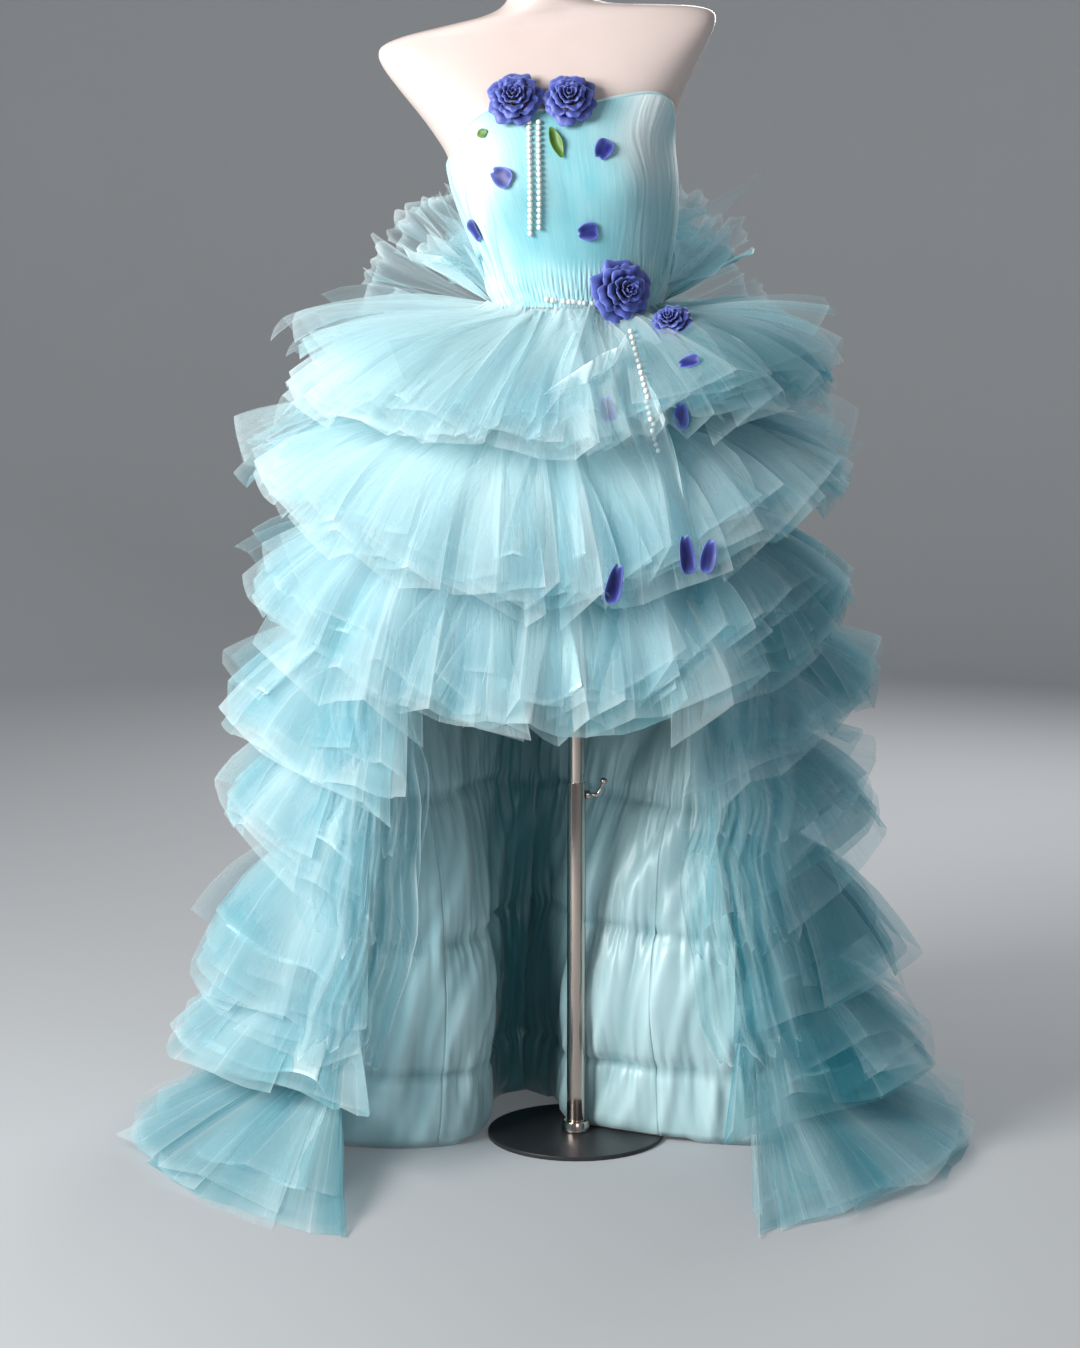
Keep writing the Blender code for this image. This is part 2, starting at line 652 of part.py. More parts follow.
def add_scrap(scrap, parts):
    """A loose petal or leaf: a pointed, dished leaf shape that touches the cloth at its middle."""
    place = cloth_frame(scrap.on, scrap.x, scrap.height, SCRAP_LIFT)

    def surface(u, v):
        along_it = v - 0.5
        breadth = math.sin(math.pi * (0.06 + 0.88 * v)) ** 0.6
        side = (u - 0.5) * breadth
        dish = 0.10 * scrap.length * (4 * side * side + 2.4 * along_it * along_it)
        return Vector((scrap.width * side, scrap.length * along_it, dish))

    colour = "leaf" if scrap.name.startswith("leaf") else "rose"
    obj = add_cloth(scrap.name, surface, 2, 4, SCRAP_THICKNESS, colour, parts)
    obj.matrix_world = place @ Matrix.Rotation(math.radians(scrap.turn), 4, "Z")


def main():
    for obj in list(bpy.data.objects):
        bpy.data.objects.remove(obj, do_unlink=True)
    parts = bpy.data.collections.new("tiered_tulle_dress")
    bpy.context.scene.collection.children.link(parts)
    add_form(parts)
    add_stand(parts)
    add_clamp(parts)
    add_bodice(parts)
    add_lining(parts)
    for tier in TIERS:
        add_tier(tier, parts)
    add_tier(BUSTLE, parts)
    for rose in ROSES:
        add_rose(rose, parts)
    for scrap in SCRAPS:
        add_scrap(scrap, parts)


main()
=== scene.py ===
"""Strapless high-low dress of gathered tulle tiers on a limbless dress form, in Blender 4.5.

Metres, +Z up. The dress faces -Y, and the stand's pole is the Z axis. Azimuths are in degrees
from the centre front, positive towards +X, 180 at the centre back.
"""

import json
import math

import bmesh
import bpy
import numpy as np
from bpy.props import FloatProperty, FloatVectorProperty, IntProperty, PointerProperty
from bpy.types import Operator, Panel, PropertyGroup
from mathutils import Matrix, Vector
from mathutils.bvhtree import BVHTree

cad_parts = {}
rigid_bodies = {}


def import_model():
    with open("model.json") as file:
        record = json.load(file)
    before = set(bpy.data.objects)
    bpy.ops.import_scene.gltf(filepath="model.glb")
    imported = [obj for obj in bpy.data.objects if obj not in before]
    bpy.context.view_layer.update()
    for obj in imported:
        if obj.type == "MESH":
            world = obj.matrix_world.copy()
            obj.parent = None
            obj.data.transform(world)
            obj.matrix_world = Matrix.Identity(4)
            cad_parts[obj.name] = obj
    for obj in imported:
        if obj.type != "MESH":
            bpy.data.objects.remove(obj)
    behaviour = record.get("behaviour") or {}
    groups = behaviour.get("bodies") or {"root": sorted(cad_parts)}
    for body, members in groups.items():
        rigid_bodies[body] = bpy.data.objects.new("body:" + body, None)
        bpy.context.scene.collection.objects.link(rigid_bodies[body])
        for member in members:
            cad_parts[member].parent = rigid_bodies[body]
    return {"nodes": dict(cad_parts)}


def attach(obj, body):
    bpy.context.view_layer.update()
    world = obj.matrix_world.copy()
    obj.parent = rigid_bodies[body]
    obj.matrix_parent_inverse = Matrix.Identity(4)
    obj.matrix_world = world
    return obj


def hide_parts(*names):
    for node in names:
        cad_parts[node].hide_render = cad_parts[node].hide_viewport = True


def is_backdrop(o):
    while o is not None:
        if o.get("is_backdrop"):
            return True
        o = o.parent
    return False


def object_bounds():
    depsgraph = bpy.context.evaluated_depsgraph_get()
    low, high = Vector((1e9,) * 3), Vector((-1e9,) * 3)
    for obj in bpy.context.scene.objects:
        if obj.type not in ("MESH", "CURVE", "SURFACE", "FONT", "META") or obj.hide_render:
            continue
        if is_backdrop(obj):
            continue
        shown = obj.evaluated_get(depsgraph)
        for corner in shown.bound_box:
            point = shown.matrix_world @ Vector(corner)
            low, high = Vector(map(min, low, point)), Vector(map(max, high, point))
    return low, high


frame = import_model()
CAD_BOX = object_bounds()

bl_info = {
    "name": "Tiered Tulle Dress",
    "version": (1, 0, 0),
    "blender": (4, 5, 0),
    "location": "View3D > Sidebar > Dress",
    "description": "Sews a high-low tulle dress on its packed form and stand, and lights it",
    "category": "Add Mesh",
}

DRESS, SCREW = "stand_and_dress", "clamp_screw"


# Numbers of the dress
def table(columns, *rows):
    """Rows of numbers as one array for each named column."""
    return dict(zip(columns.split(), np.array(rows, float).T))


WAIST, SHOULDER = 1.115, 1.472
FORM_BOTTOM, FRONT_HEM = 0.800, 0.620
SEAM, EASE, SNUG = 0.0005, 0.0036, 0.0007
SATIN, WALL = 0.0015, 0.0010
TIER_GAP = 0.0010
TIP = math.radians(6.0)
CHEST_SHIFT, SKIRT_SHIFT = -0.040, -0.037
BASE_RADIUS, BASE_THICKNESS = 0.120, 0.006
FLOOR_GAP = 0.0006
SKY = (0.92, 0.95, 1.0)

FORM = table(
    "height half_width front back square",
    (0.800, 0.128, 0.070, 0.084, 1.00), (0.820, 0.152, 0.086, 0.102, 1.00),
    (0.900, 0.166, 0.096, 0.112, 1.00), (0.980, 0.156, 0.094, 0.104, 1.00),
    (1.050, 0.126, 0.085, 0.088, 1.00), (1.115, 0.107, 0.077, 0.077, 1.00),
    (1.165, 0.117, 0.084, 0.081, 1.00), (1.215, 0.131, 0.098, 0.087, 0.97),
    (1.270, 0.141, 0.110, 0.091, 0.95), (1.320, 0.145, 0.104, 0.093, 0.92),
    (1.350, 0.157, 0.092, 0.092, 0.85), (1.380, 0.173, 0.080, 0.088, 0.75),
    (1.415, 0.195, 0.068, 0.080, 0.65), (1.445, 0.213, 0.056, 0.070, 0.60),
    (1.462, 0.218, 0.048, 0.060, 0.62), (1.473, 0.211, 0.043, 0.054, 0.68),
    (1.481, 0.185, 0.043, 0.052, 0.75), (1.488, 0.135, 0.044, 0.050, 0.85),
    (1.494, 0.090, 0.046, 0.049, 0.95), (1.503, 0.062, 0.048, 0.048, 1.00),
    (1.518, 0.050, 0.048, 0.047, 1.00), (1.545, 0.046, 0.047, 0.046, 1.00),
)
CUP_AZIMUTH, CUP_SPREAD, CUP_HEIGHT, CUP_DROP, CUP_DEPTH = 30.0, 20.0, 1.270, 0.045, 0.012
NECKLINE = table(
    "azimuth height",
    (-180, 1.300), (-130, 1.302), (-95, 1.305), (-78, 1.312), (-60, 1.326), (-48, 1.342),
    (-35, 1.360), (-18, 1.374), (0, 1.366), (18, 1.374), (42, 1.377), (62, 1.363),
    (78, 1.336), (95, 1.318), (130, 1.308), (180, 1.300),
)
LINING = table(
    "height half_width front back square",
    (0.000, 0.2950, 0.2180, 0.3080, 1), (0.200, 0.2700, 0.2000, 0.2780, 1),
    (0.400, 0.2460, 0.1820, 0.2450, 1), (0.600, 0.2240, 0.1660, 0.2120, 1),
    (0.700, 0.2140, 0.1570, 0.1950, 1), (0.800, 0.2030, 0.1480, 0.1750, 1),
    (0.900, 0.1900, 0.1380, 0.1520, 1), (0.980, 0.1740, 0.1240, 0.1300, 1),
    (1.050, 0.1480, 0.1050, 0.1060, 1), (1.115, 0.1085, 0.0785, 0.0785, 1),
)
EDGE_FROM, EDGE_TO = 55.0, 86.0
LINING_PLAN = table(
    "azimuth x y",
    (-180, -0.11, 0.66), (-166, -0.24, 0.56), (-150, -0.31, 0.29), (-136, -0.30, 0.02),
    (-122, -0.41, -0.22), (-108, -0.66, -0.31), (-95, -0.91, -0.27), (-84, -0.977, -0.20),
    (-70, -0.94, -0.34), (-55, -0.82, -0.57), (0, 0.00, -1.00), (55, 0.82, -0.57),
    (70, 0.94, -0.34), (84, 0.977, -0.20), (94, 0.93, -0.24), (104, 0.76, -0.21),
    (116, 0.51, -0.13), (128, 0.29, 0.01), (140, 0.11, 0.11), (152, 0.07, 0.26),
    (166, 0.02, 0.50), (180, -0.11, 0.66),
)
FOLD_TOP, FOLD_FULL = 0.80, 0.16

# A tier's seam and hem start at the azimuths start. Numbers in threes hold at the front edge,
# the side and the back: heights of seam and hem, the hem's reach from the pole, the height of
# the curve's middle over the seam (lift), its place between seam and hem (spring) and how far
# a fan may rise (spread). waves are counted round the tier, swing is the folds' depth and dip
# is how far the hem rises with them.
TIERS = {
    "tier_1": dict(start=(0, 0), seam=(1.109, 1.109, 1.107), hem=(0.952, 0.985, 0.930),
                   reach=(0.270, 0.392, 0.335), lift=(-0.045, 0.036, 0.020),
                   spring=(0.28, 0.82, 0.75), waves=18, swing=0.034, dip=0.018,
                   spread=(0.02, 0.10, 0.09)),
    "tier_2": dict(start=(0, 0), seam=(0.960, 0.992, 0.950), hem=(0.755, 0.872, 0.745),
                   reach=(0.302, 0.422, 0.375), lift=(0.000, 0.004, 0.004),
                   spring=(0.62, 0.72, 0.70), waves=19, swing=0.036, dip=0.018),
    "tier_3": dict(start=(0, 0), seam=(0.792, 0.862, 0.780), hem=(0.592, 0.722, 0.565),
                   reach=(0.318, 0.416, 0.400), lift=(0.000, 0.002, 0.002),
                   spring=(0.62, 0.72, 0.70), waves=19, swing=0.036, dip=0.018),
    "tier_4": dict(start=(58, 50), seam=(0.655, 0.740, 0.640), hem=(0.510, 0.582, 0.435),
                   reach=(0.315, 0.458, 0.435), lift=(0.0, 0.0, 0.0),
                   spring=(0.66, 0.72, 0.70), waves=13, swing=0.034, dip=0.016),
    "tier_5": dict(start=(68, 58), seam=(0.520, 0.598, 0.510), hem=(0.345, 0.440, 0.315),
                   reach=(0.308, 0.460, 0.460), lift=(0.0, 0.0, 0.0),
                   spring=(0.66, 0.72, 0.70), waves=14, swing=0.034, dip=0.016),
    "tier_6": dict(start=(72, 60), seam=(0.370, 0.448, 0.372), hem=(0.180, 0.238, 0.205),
                   reach=(0.325, 0.494, 0.500), lift=(0.0, 0.0, 0.0),
                   spring=(0.66, 0.70, 0.70), waves=14, swing=0.034, dip=0.014),
    "tier_7": dict(start=(78, 52), seam=(0.205, 0.272, 0.242), hem=(0.075, 0.098, 0.100),
                   reach=(0.378, 0.548, 0.550), lift=(0.0, 0.0, 0.0),
                   spring=(0.62, 0.66, 0.66), waves=14, swing=0.032, dip=0.010),
    "tier_8": dict(start=(76, 34), seam=(0.090, 0.112, 0.110), hem=(0.0, 0.0, 0.0),
                   spread=(0.03, 0.05, 0.05),
                   reach=(0.505, 0.584, 0.600), lift=(0.0, 0.0, 0.0),
                   spring=(0.42, 0.46, 0.46), waves=15, swing=0.030, dip=0.0),
    "back_ruffle": dict(start=(98, 84), seam=(1.119, 1.119, 1.119), hem=(1.205, 1.200, 1.262),
                        reach=(0.200, 0.280, 0.235), lift=(0.050, 0.050, 0.060),
                        spring=(0.40, 0.40, 0.40), waves=10, swing=0.026, dip=0.024,
                        spread=(-0.03, -0.03, -0.06)),
}

# Name, what it sits on, x, height, radius, stand-off, rise, turn and upward tilt
ROSES = [
    ("neckline_rose_left", "bodice_front", -0.0800, 1.361, 0.0340, 0.0008, 0.014, 10.0, 0.0),
    ("neckline_rose_right", "bodice_front", -0.0110, 1.360, 0.0330, 0.0008, 0.014, 40.0, 0.0),
    ("waist_rose_large", "bodice_front", 0.0490, 1.137, 0.0400, 0.0062, 0.0, 25.0, 16.0),
    ("waist_rose_small", "tier_1", 0.1190, 1.093, 0.0265, 0.0012, 0.0, 60.0, 0.0),
]
# Name, what it sits on, x, height, length, width and turn
SCRAPS = [
    ("petal_bodice_1", "bodice_front", -0.096, 1.280, 0.030, 0.026, 60.0),
    ("petal_bodice_2", "bodice_front", 0.031, 1.313, 0.028, 0.024, 150.0),
    ("petal_bodice_3", "bodice_front", -0.130, 1.216, 0.030, 0.024, 200.0),
    ("petal_bodice_4", "bodice_front", 0.012, 1.213, 0.026, 0.025, 100.0),
    ("leaf_neckline_1", "bodice_front", -0.028, 1.322, 0.042, 0.015, 200.0),
    ("leaf_neckline_2", "bodice_front", -0.121, 1.335, 0.014, 0.012, 120.0),
    ("petal_tier_1_a", "tier_1", 0.136, 1.050, 0.026, 0.016, 110.0),
    ("petal_tier_1_b", "tier_1", 0.036, 0.992, 0.032, 0.020, 10.0),
    ("petal_tier_1_c", "tier_1", 0.128, 0.984, 0.034, 0.020, 5.0),
    ("petal_tier_2_a", "tier_2", 0.040, 0.785, 0.050, 0.022, 340.0),
    ("petal_tier_2_b", "tier_2", 0.128, 0.822, 0.048, 0.021, 8.0),
    ("petal_tier_2_c", "tier_2", 0.159, 0.816, 0.042, 0.020, 350.0),
]


# Curves
def smooth(t):
    """3t² - 2t³, held at 0 and 1."""
    t = np.clip(t, 0.0, 1.0)
    return t * t * (3 - 2 * t)


def mix(a, b, t):
    """a + (b - a)t."""
    return a + (b - a) * t


def bump(x, centre, width):
    """The bell exp(-((x - centre) / width)²)."""
    return np.exp(-(((x - centre) / width) ** 2))


def ripple(x, seed=0.0):
    """An uneven ripple of about -1 to 1: four sines whose rates have no common measure."""
    return (
        np.sin(x + seed) + 0.7 * np.sin(1.73 * x + 1.3 * seed + 1.1)
        + 0.5 * np.sin(2.91 * x + 2.1 * seed + 0.4) + 0.3 * np.sin(4.37 * x + 0.7 * seed)
    ) / 2.0


def along(rows, key, at, column):
    """A column of a table at a height or azimuth: a Hermite curve through the rows.

    A row's slope is that between its two neighbours.
    """
    keys, values = rows[key], rows[column]
    count = len(keys)
    low = np.maximum(np.arange(count) - 1, 0)
    high = np.minimum(np.arange(count) + 1, count - 1)
    slopes = (values[high] - values[low]) / (keys[high] - keys[low])
    at = np.clip(at, keys[0], keys[-1])
    i = np.clip(np.searchsorted(keys, at) - 1, 0, count - 2)
    step = keys[i + 1] - keys[i]
    t = (at - keys[i]) / step
    return (
        (2 * t**3 - 3 * t**2 + 1) * values[i] + (t**3 - 2 * t**2 + t) * step * slopes[i]
        + (3 * t**2 - 2 * t**3) * values[i + 1] + (t**3 - t**2) * step * slopes[i + 1]
    )


def softened(values, reach):
    """Values averaged with their neighbours up to reach steps away."""
    width = 2 * reach + 1
    return np.convolve(np.pad(values, reach, mode="edge"), np.ones(width) / width, "valid")


def on_line(knots, at):
    """Points of a broken line at places from 0 to 1, with its knots at even places."""
    knots = np.array(knots, float)
    place = at * (len(knots) - 1)
    return np.stack([np.interp(place, np.arange(len(knots)), k) for k in knots.T], axis=1)


def wrapped(azimuth):
    """An azimuth from -180 to 180."""
    return (azimuth + 180.0) % 360.0 - 180.0


def stack(x, y, z):
    """Points from three coordinates that broadcast together."""
    return np.stack(np.broadcast_arrays(x, y, z), axis=-1)


# Shapes shared with the solids
def lean(points):
    """Above the waist a point turns by TIP about Y and moves by CHEST_SHIFT, both times smooth."""
    t = smooth((points[..., 2] - WAIST) / (SHOULDER - WAIST))
    x, y, z = np.moveaxis(points, -1, 0)
    return stack(CHEST_SHIFT * t + x * np.cos(TIP * t), y, z + x * np.sin(TIP * t))


def plan_point(rows, azimuth, height, out):
    """Half-width times |sine|^square and depth times |cosine|^square, each moved out."""
    half_width, front, back, square = (along(rows, "height", height, column) for column in
                                       ("half_width", "front", "back", "square"))
    a = np.radians(azimuth)
    s, c = np.sin(a), np.cos(a)
    depth = np.where(c > 0, front, back)
    return stack(
        (half_width + out) * np.sign(s) * np.abs(s) ** square,
        -(depth + out) * np.sign(c) * np.abs(c) ** square,
        height,
    )


def skirt_shift(height):
    """How far the skirt has moved aside at a height."""
    return SKIRT_SHIFT * smooth((WAIST - height) / 0.2)


def form_point(azimuth, height, out=0.0):
    """The form's skin: its section with two bell-shaped cups, shifted and leant."""
    turn = wrapped(azimuth)
    side = np.minimum(np.abs(turn - CUP_AZIMUTH), np.abs(turn + CUP_AZIMUTH)) / CUP_SPREAD
    level = (height - CUP_HEIGHT) / CUP_DROP
    cup = CUP_DEPTH * np.exp(-side * side - level * level)
    points = plan_point(FORM, azimuth, height, out + cup)
    points[..., 0] += skirt_shift(height)
    return lean(points)


def bodice_point(azimuth, t, out=0.0):
    """The bodice's inner face: the form's skin and an ease that opens above the waist."""
    top = along(NECKLINE, "azimuth", wrapped(azimuth), "height")
    height = mix(WAIST + SEAM, top, t)
    return form_point(azimuth, height, mix(SNUG, EASE, smooth(t / 0.25)) + out)


def lining_hem(azimuth):
    """The high-low hem: the front hem, falling smoothly to the floor at the train's edge."""
    beyond = np.abs(wrapped(azimuth)) - EDGE_FROM
    return FRONT_HEM * (1 - smooth(beyond / (EDGE_TO - EDGE_FROM)))


def lining_point(azimuth, height, out=0.0, folded=True):
    """The lining: a plain ring at the top that turns into the folded plan towards the floor."""
    points = plan_point(LINING, azimuth, height, out)
    if folded:
        x, y = (along(LINING_PLAN, "azimuth", wrapped(azimuth), column) for column in "xy")
        half_width, front, back = (along(LINING, "height", height, column) for column in
                                   ("half_width", "front", "back"))
        fold = stack(x * half_width, y * np.where(y < 0, front, back), height)
        grown = smooth((FOLD_TOP - height) / (FOLD_TOP - FOLD_FULL))
        points = points + (fold - points) * np.broadcast_to(grown, points.shape[:-1])[..., None]
    points[..., 0] += skirt_shift(height)
    from_base = np.hypot(points[..., 0], points[..., 1]) - BASE_RADIUS
    foot = (BASE_THICKNESS + SEAM) * (1 - smooth((from_base - 0.03) / 0.03))
    points[..., 2] = np.maximum(points[..., 2], foot)
    return points


def by_place(values, azimuth, start):
    """Smoothly from the front edge's value to the side's at 90 degrees and the back's at 180."""
    front, side, back = values
    turn = np.abs(wrapped(azimuth))
    return np.where(
        turn <= 90,
        mix(front, side, smooth((turn - start) / (90.0 - start))),
        mix(side, back, smooth((turn - 90) / 90)),
    )


def wave(place, waves):
    """A gathered edge: raised cosines, a wave each, whose depth wanders by two slow sines."""
    turn = place * waves
    depth = 0.78 + 0.22 * np.sin(2.4 * turn + 0.7) * np.sin(1.1 * turn)
    return depth * (0.5 - 0.5 * np.cos(2 * np.pi * turn))


def tier_point(name, seam_place, hem_place, v, fold, drop=0.0, out=0.0, raised=0.0,
               straight=0.0, swing=None):
    """A tier's cloth: a quadratic Bezier curve from its seam, over a raised middle, to its hem.

    fold, from 0 to 1, swings the curve out square to its run, growing with v to the power 1.15.
    drop lowers the hem, raised lifts it by that share of the tier's spread, and straight draws
    the curve's middle towards the middle of its chord.
    """
    tier = TIERS[name]
    swing = tier["swing"] if swing is None else swing
    attach_from, hem_from = tier["start"]
    seam_azimuth = mix(attach_from, 360.0 - attach_from, seam_place)
    hem_azimuth = mix(hem_from, 360.0 - hem_from, hem_place)
    seam_height = by_place(tier["seam"], seam_azimuth, attach_from)
    if name == "back_ruffle":
        top = along(NECKLINE, "azimuth", wrapped(seam_azimuth), "height")
        t = (seam_height - WAIST - SEAM) / (top - WAIST - SEAM)
        seam = bodice_point(seam_azimuth, t, SATIN + TIER_GAP)
    else:
        seam = lining_point(seam_azimuth, seam_height, SATIN + TIER_GAP, folded=False)
    a = np.radians(hem_azimuth)
    outward = stack(np.sin(a), -np.cos(a), 0.0)
    height = by_place(tier["hem"], hem_azimuth, hem_from)
    reach = by_place(tier["reach"], hem_azimuth, hem_from) - swing
    hem = outward * reach[..., None]
    hem[..., 0] += skirt_shift(height)
    spread = by_place(tier.get("spread", (0.02, 0.06, 0.06)), hem_azimuth, hem_from)
    hem[..., 2] = height + tier["dip"] * (fold - 0.5) - drop + raised * spread
    spring = mix(by_place(tier["spring"], hem_azimuth, hem_from), 0.5, straight)
    middle = mix(seam, hem, spring[..., None])
    bowed = seam[..., 2] + by_place(tier["lift"], hem_azimuth, hem_from)
    middle[..., 2] = mix(bowed, 0.5 * (seam[..., 2] + hem[..., 2]), straight)
    v = np.asarray(v)[..., None]
    points = seam * (1 - v) ** 2 + middle * (2 * v * (1 - v)) + hem * v**2
    run = hem - seam
    level = np.hypot(run[..., 0], run[..., 1])
    rise = np.abs(run[..., 2])
    across = stack(outward[..., 0] * rise, outward[..., 1] * rise, level)
    across = across / np.linalg.norm(across, axis=-1, keepdims=True)
    if name == "tier_8":
        across = outward
    points = points + across * (swing * fold * v[..., 0] ** 1.15 + out)[..., None]
    points[..., 2] = np.maximum(points[..., 2], FLOOR_GAP)
    return points


# Meshes
def normals(points):
    """Unit normals of a grid: the cross product of its steps across and down."""
    across = np.gradient(points, axis=1)
    down = np.gradient(points, axis=0)
    normal = np.cross(down, across)
    return normal / np.maximum(np.linalg.norm(normal, axis=-1, keepdims=True), 1e-12)


def lengths(points):
    """The running length of a grid, in metres, along its rows and down its columns."""
    across = np.linalg.norm(np.diff(points, axis=1), axis=-1)
    down = np.linalg.norm(np.diff(points, axis=0), axis=-1)
    return (np.insert(np.cumsum(across, axis=1), 0, 0, axis=1),
            np.insert(np.cumsum(down, axis=0), 0, 0, axis=0))


def flat_size(grids):
    """Width and length of the flat strips that grids are made of, in metres, and their area."""
    width = length = area = 0.0
    for points in grids:
        along_it, down_it = lengths(points)
        width += along_it[:, -1].max()
        length = max(length, down_it[-1].mean())
        across = np.diff(points, axis=1)[:-1]
        down = np.diff(points, axis=0)[:, :-1]
        area += np.linalg.norm(np.cross(across, down), axis=-1).sum()
    return width, length, area


def new_piece(name, mesh, material, slot, node=None, wall=0.0, body=DRESS):
    """Puts a mesh into the scene at the origin as a piece that rides on a body.

    slot is not used, node names the solid that it replaces and wall a sheet's thickness.
    """
    piece = bpy.data.objects.new(name, mesh)
    bpy.context.scene.collection.objects.link(piece)
    mesh.materials.append(material)
    mesh.shade_smooth()
    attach(piece, body)
    if node:
        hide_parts(node)
    if wall:
        sides = piece.modifiers.new("wall", "SOLIDIFY")
        sides.thickness, sides.offset, sides.use_even_offset = wall, 0.0, False
    return piece


def declare_sheet(grids, rests_on):
    """Works out the flat size of the strips that a sheet is cut from."""
    narrowest, widest, fullest = 0.0101, 29.0, 0.31
    width, length, area = flat_size(grids)
    width, length = min(max(width, narrowest), widest), max(length, narrowest)
    area = max(min(area, width * length), fullest * width * length)


def grid_mesh(name, grids, closed=False, marks=None):
    """One mesh of quads through grids of rows by columns, with a UV map in metres of cloth.

    marks holds point attributes: for each name, one array for each grid.
    """
    verts, faces, uvs, first = [], [], [], 0
    for points in grids:
        rows, columns = points.shape[:2]
        index = first + np.arange(rows * columns).reshape(rows, columns)
        first += rows * columns
        along_it, down_it = lengths(points)
        where = np.stack([np.broadcast_to(along_it[-1], along_it.shape), down_it], axis=-1)
        if closed:
            index = np.hstack([index, index[:, :1]])
            gap = np.linalg.norm(points[-1, 0] - points[-1, -1])
            last = where[:, -1:] + (gap, 0.0)
            where = np.hstack([where, last])
        corners = [(slice(None, -1), slice(None, -1)), (slice(1, None), slice(None, -1)),
                   (slice(1, None), slice(1, None)), (slice(None, -1), slice(1, None))]
        verts.append(points.reshape(-1, 3))
        faces.append(np.stack([index[c] for c in corners], axis=-1).reshape(-1, 4))
        uvs.append(np.stack([where[c] for c in corners], axis=-2).reshape(-1, 2))
    verts, faces, uvs = np.vstack(verts), np.vstack(faces), np.vstack(uvs)
    mesh = bpy.data.meshes.new(name)
    mesh.vertices.add(len(verts))
    mesh.vertices.foreach_set("co", verts.astype(np.float32).ravel())
    mesh.loops.add(faces.size)
    mesh.loops.foreach_set("vertex_index", faces.astype(np.int32).ravel())
    mesh.polygons.add(len(faces))
    mesh.polygons.foreach_set("loop_start", np.arange(0, faces.size, 4, dtype=np.int32))
    mesh.update(calc_edges=True)
    mesh.uv_layers.new(name="cloth").uv.foreach_set("vector", uvs.astype(np.float32).ravel())
    for mark, arrays in (marks or {}).items():
        values = np.concatenate([np.ravel(a) for a in arrays]).astype(np.float32)
        mesh.attributes.new(mark, "FLOAT", "POINT").data.foreach_set("value", values)
    mesh.validate()
    return mesh


def turned_grid(profile, columns):
    """A profile of (radius, height) points turned about the pole's axis."""
    a = np.linspace(0, 2 * np.pi, columns, endpoint=False)
    radius, height = np.array(profile, float).T
    return stack(radius[:, None] * np.cos(a), radius[:, None] * np.sin(a), height[:, None])


def rounded(corners, radius, steps=4):
    """A closed profile's corners cut back by radius and joined by quadratic curves."""
    corners = np.array(corners, float)
    before = np.roll(corners, 1, axis=0) - corners
    after = np.roll(corners, -1, axis=0) - corners
    span_before = np.linalg.norm(before, axis=1, keepdims=True)
    span_after = np.linalg.norm(after, axis=1, keepdims=True)
    start = corners + before / span_before * np.minimum(radius, span_before * 0.45)
    end = corners + after / span_after * np.minimum(radius, span_after * 0.45)
    t = np.linspace(0, 1, steps + 1)[None, :, None]
    curve = (start[:, None] * (1 - t) ** 2 + corners[:, None] * 2 * t * (1 - t)
             + end[:, None] * t**2)
    return curve.reshape(-1, 2)


def tube_grid(path, radii, columns, up=(0.0, 1.0, 0.0)):
    """Circles of the given radii carried square to a path of points."""
    path = np.array(path, float)
    ahead = np.gradient(path, axis=0)
    ahead /= np.linalg.norm(ahead, axis=1, keepdims=True)
    side = np.cross(ahead, up)
    side /= np.linalg.norm(side, axis=1, keepdims=True)
    over = np.cross(side, ahead)
    a = np.linspace(0, 2 * np.pi, columns, endpoint=False)[None, :, None]
    radii = np.array(radii, float)[:, None, None]
    return path[:, None] + radii * (np.cos(a) * side[:, None] + np.sin(a) * over[:, None])


def closed_tube_mesh(name, points):
    """A grid closed round its columns, with its first and last row gathered to a point."""
    ends = [points[:1] * 0 + points[:1].mean(axis=1, keepdims=True),
            points[-1:] * 0 + points[-1:].mean(axis=1, keepdims=True)]
    mesh = grid_mesh(name, [np.concatenate([ends[0], points, ends[1]])], closed=True)
    return merged(mesh)


def merged(mesh):
    """Merges the doubles of a closed mesh and turns its faces outwards."""
    bm = bmesh.new()
    bm.from_mesh(mesh)
    bmesh.ops.remove_doubles(bm, verts=bm.verts, dist=1e-6)
    bmesh.ops.recalc_face_normals(bm, faces=bm.faces)
    bm.to_mesh(mesh)
    bm.free()
    return mesh


def tree_of(piece):
    """A search tree of a piece's own mesh."""
    mesh = piece.data
    places = np.empty(len(mesh.vertices) * 3, np.float32)
    mesh.vertices.foreach_get("co", places)
    mesh.calc_loop_triangles()
    corners = np.empty(len(mesh.loop_triangles) * 3, np.int32)
    mesh.loop_triangles.foreach_get("vertices", corners)
    return BVHTree.FromPolygons(places.reshape(-1, 3).tolist(), corners.reshape(-1, 3).tolist())


def front_frame(trees, x, height, out=0.0, facing=0.0):
    """The frame on the foremost of some pieces, straight behind an x and a height.

    Its Z is the outward normal, turned to the front by the share facing, and its Y runs up.
    """
    hits = []
    for nudge in (0.0, 0.002, -0.002):
        for tree in trees:
            eye = Vector((x, -2.0, height + nudge))
            place, normal, _, _ = tree.ray_cast(eye, Vector((0, 1, 0)))
            if place is not None:
                hits.append((place.y, place, normal))
        if hits:
            break
    if not hits:
        raise RuntimeError(f"nothing lies behind x {x} and height {height}")
    _, place, normal = min(hits, key=lambda hit: hit[0])
    if normal.y > 0:
        normal = -normal
    normal = normal.lerp(Vector((0, -1, 0)), facing).normalized()
    up = (Vector((0, 0, 1)) - normal * normal.z).normalized()
    turn = Matrix((up.cross(normal), up, normal)).transposed().to_4x4()
    return Matrix.Translation(place + normal * out) @ turn


def depths(trees, places):
    """The Y of the foremost of some pieces behind each x and height."""
    return np.array([front_frame(trees, x, z).translation.y for x, z in places])


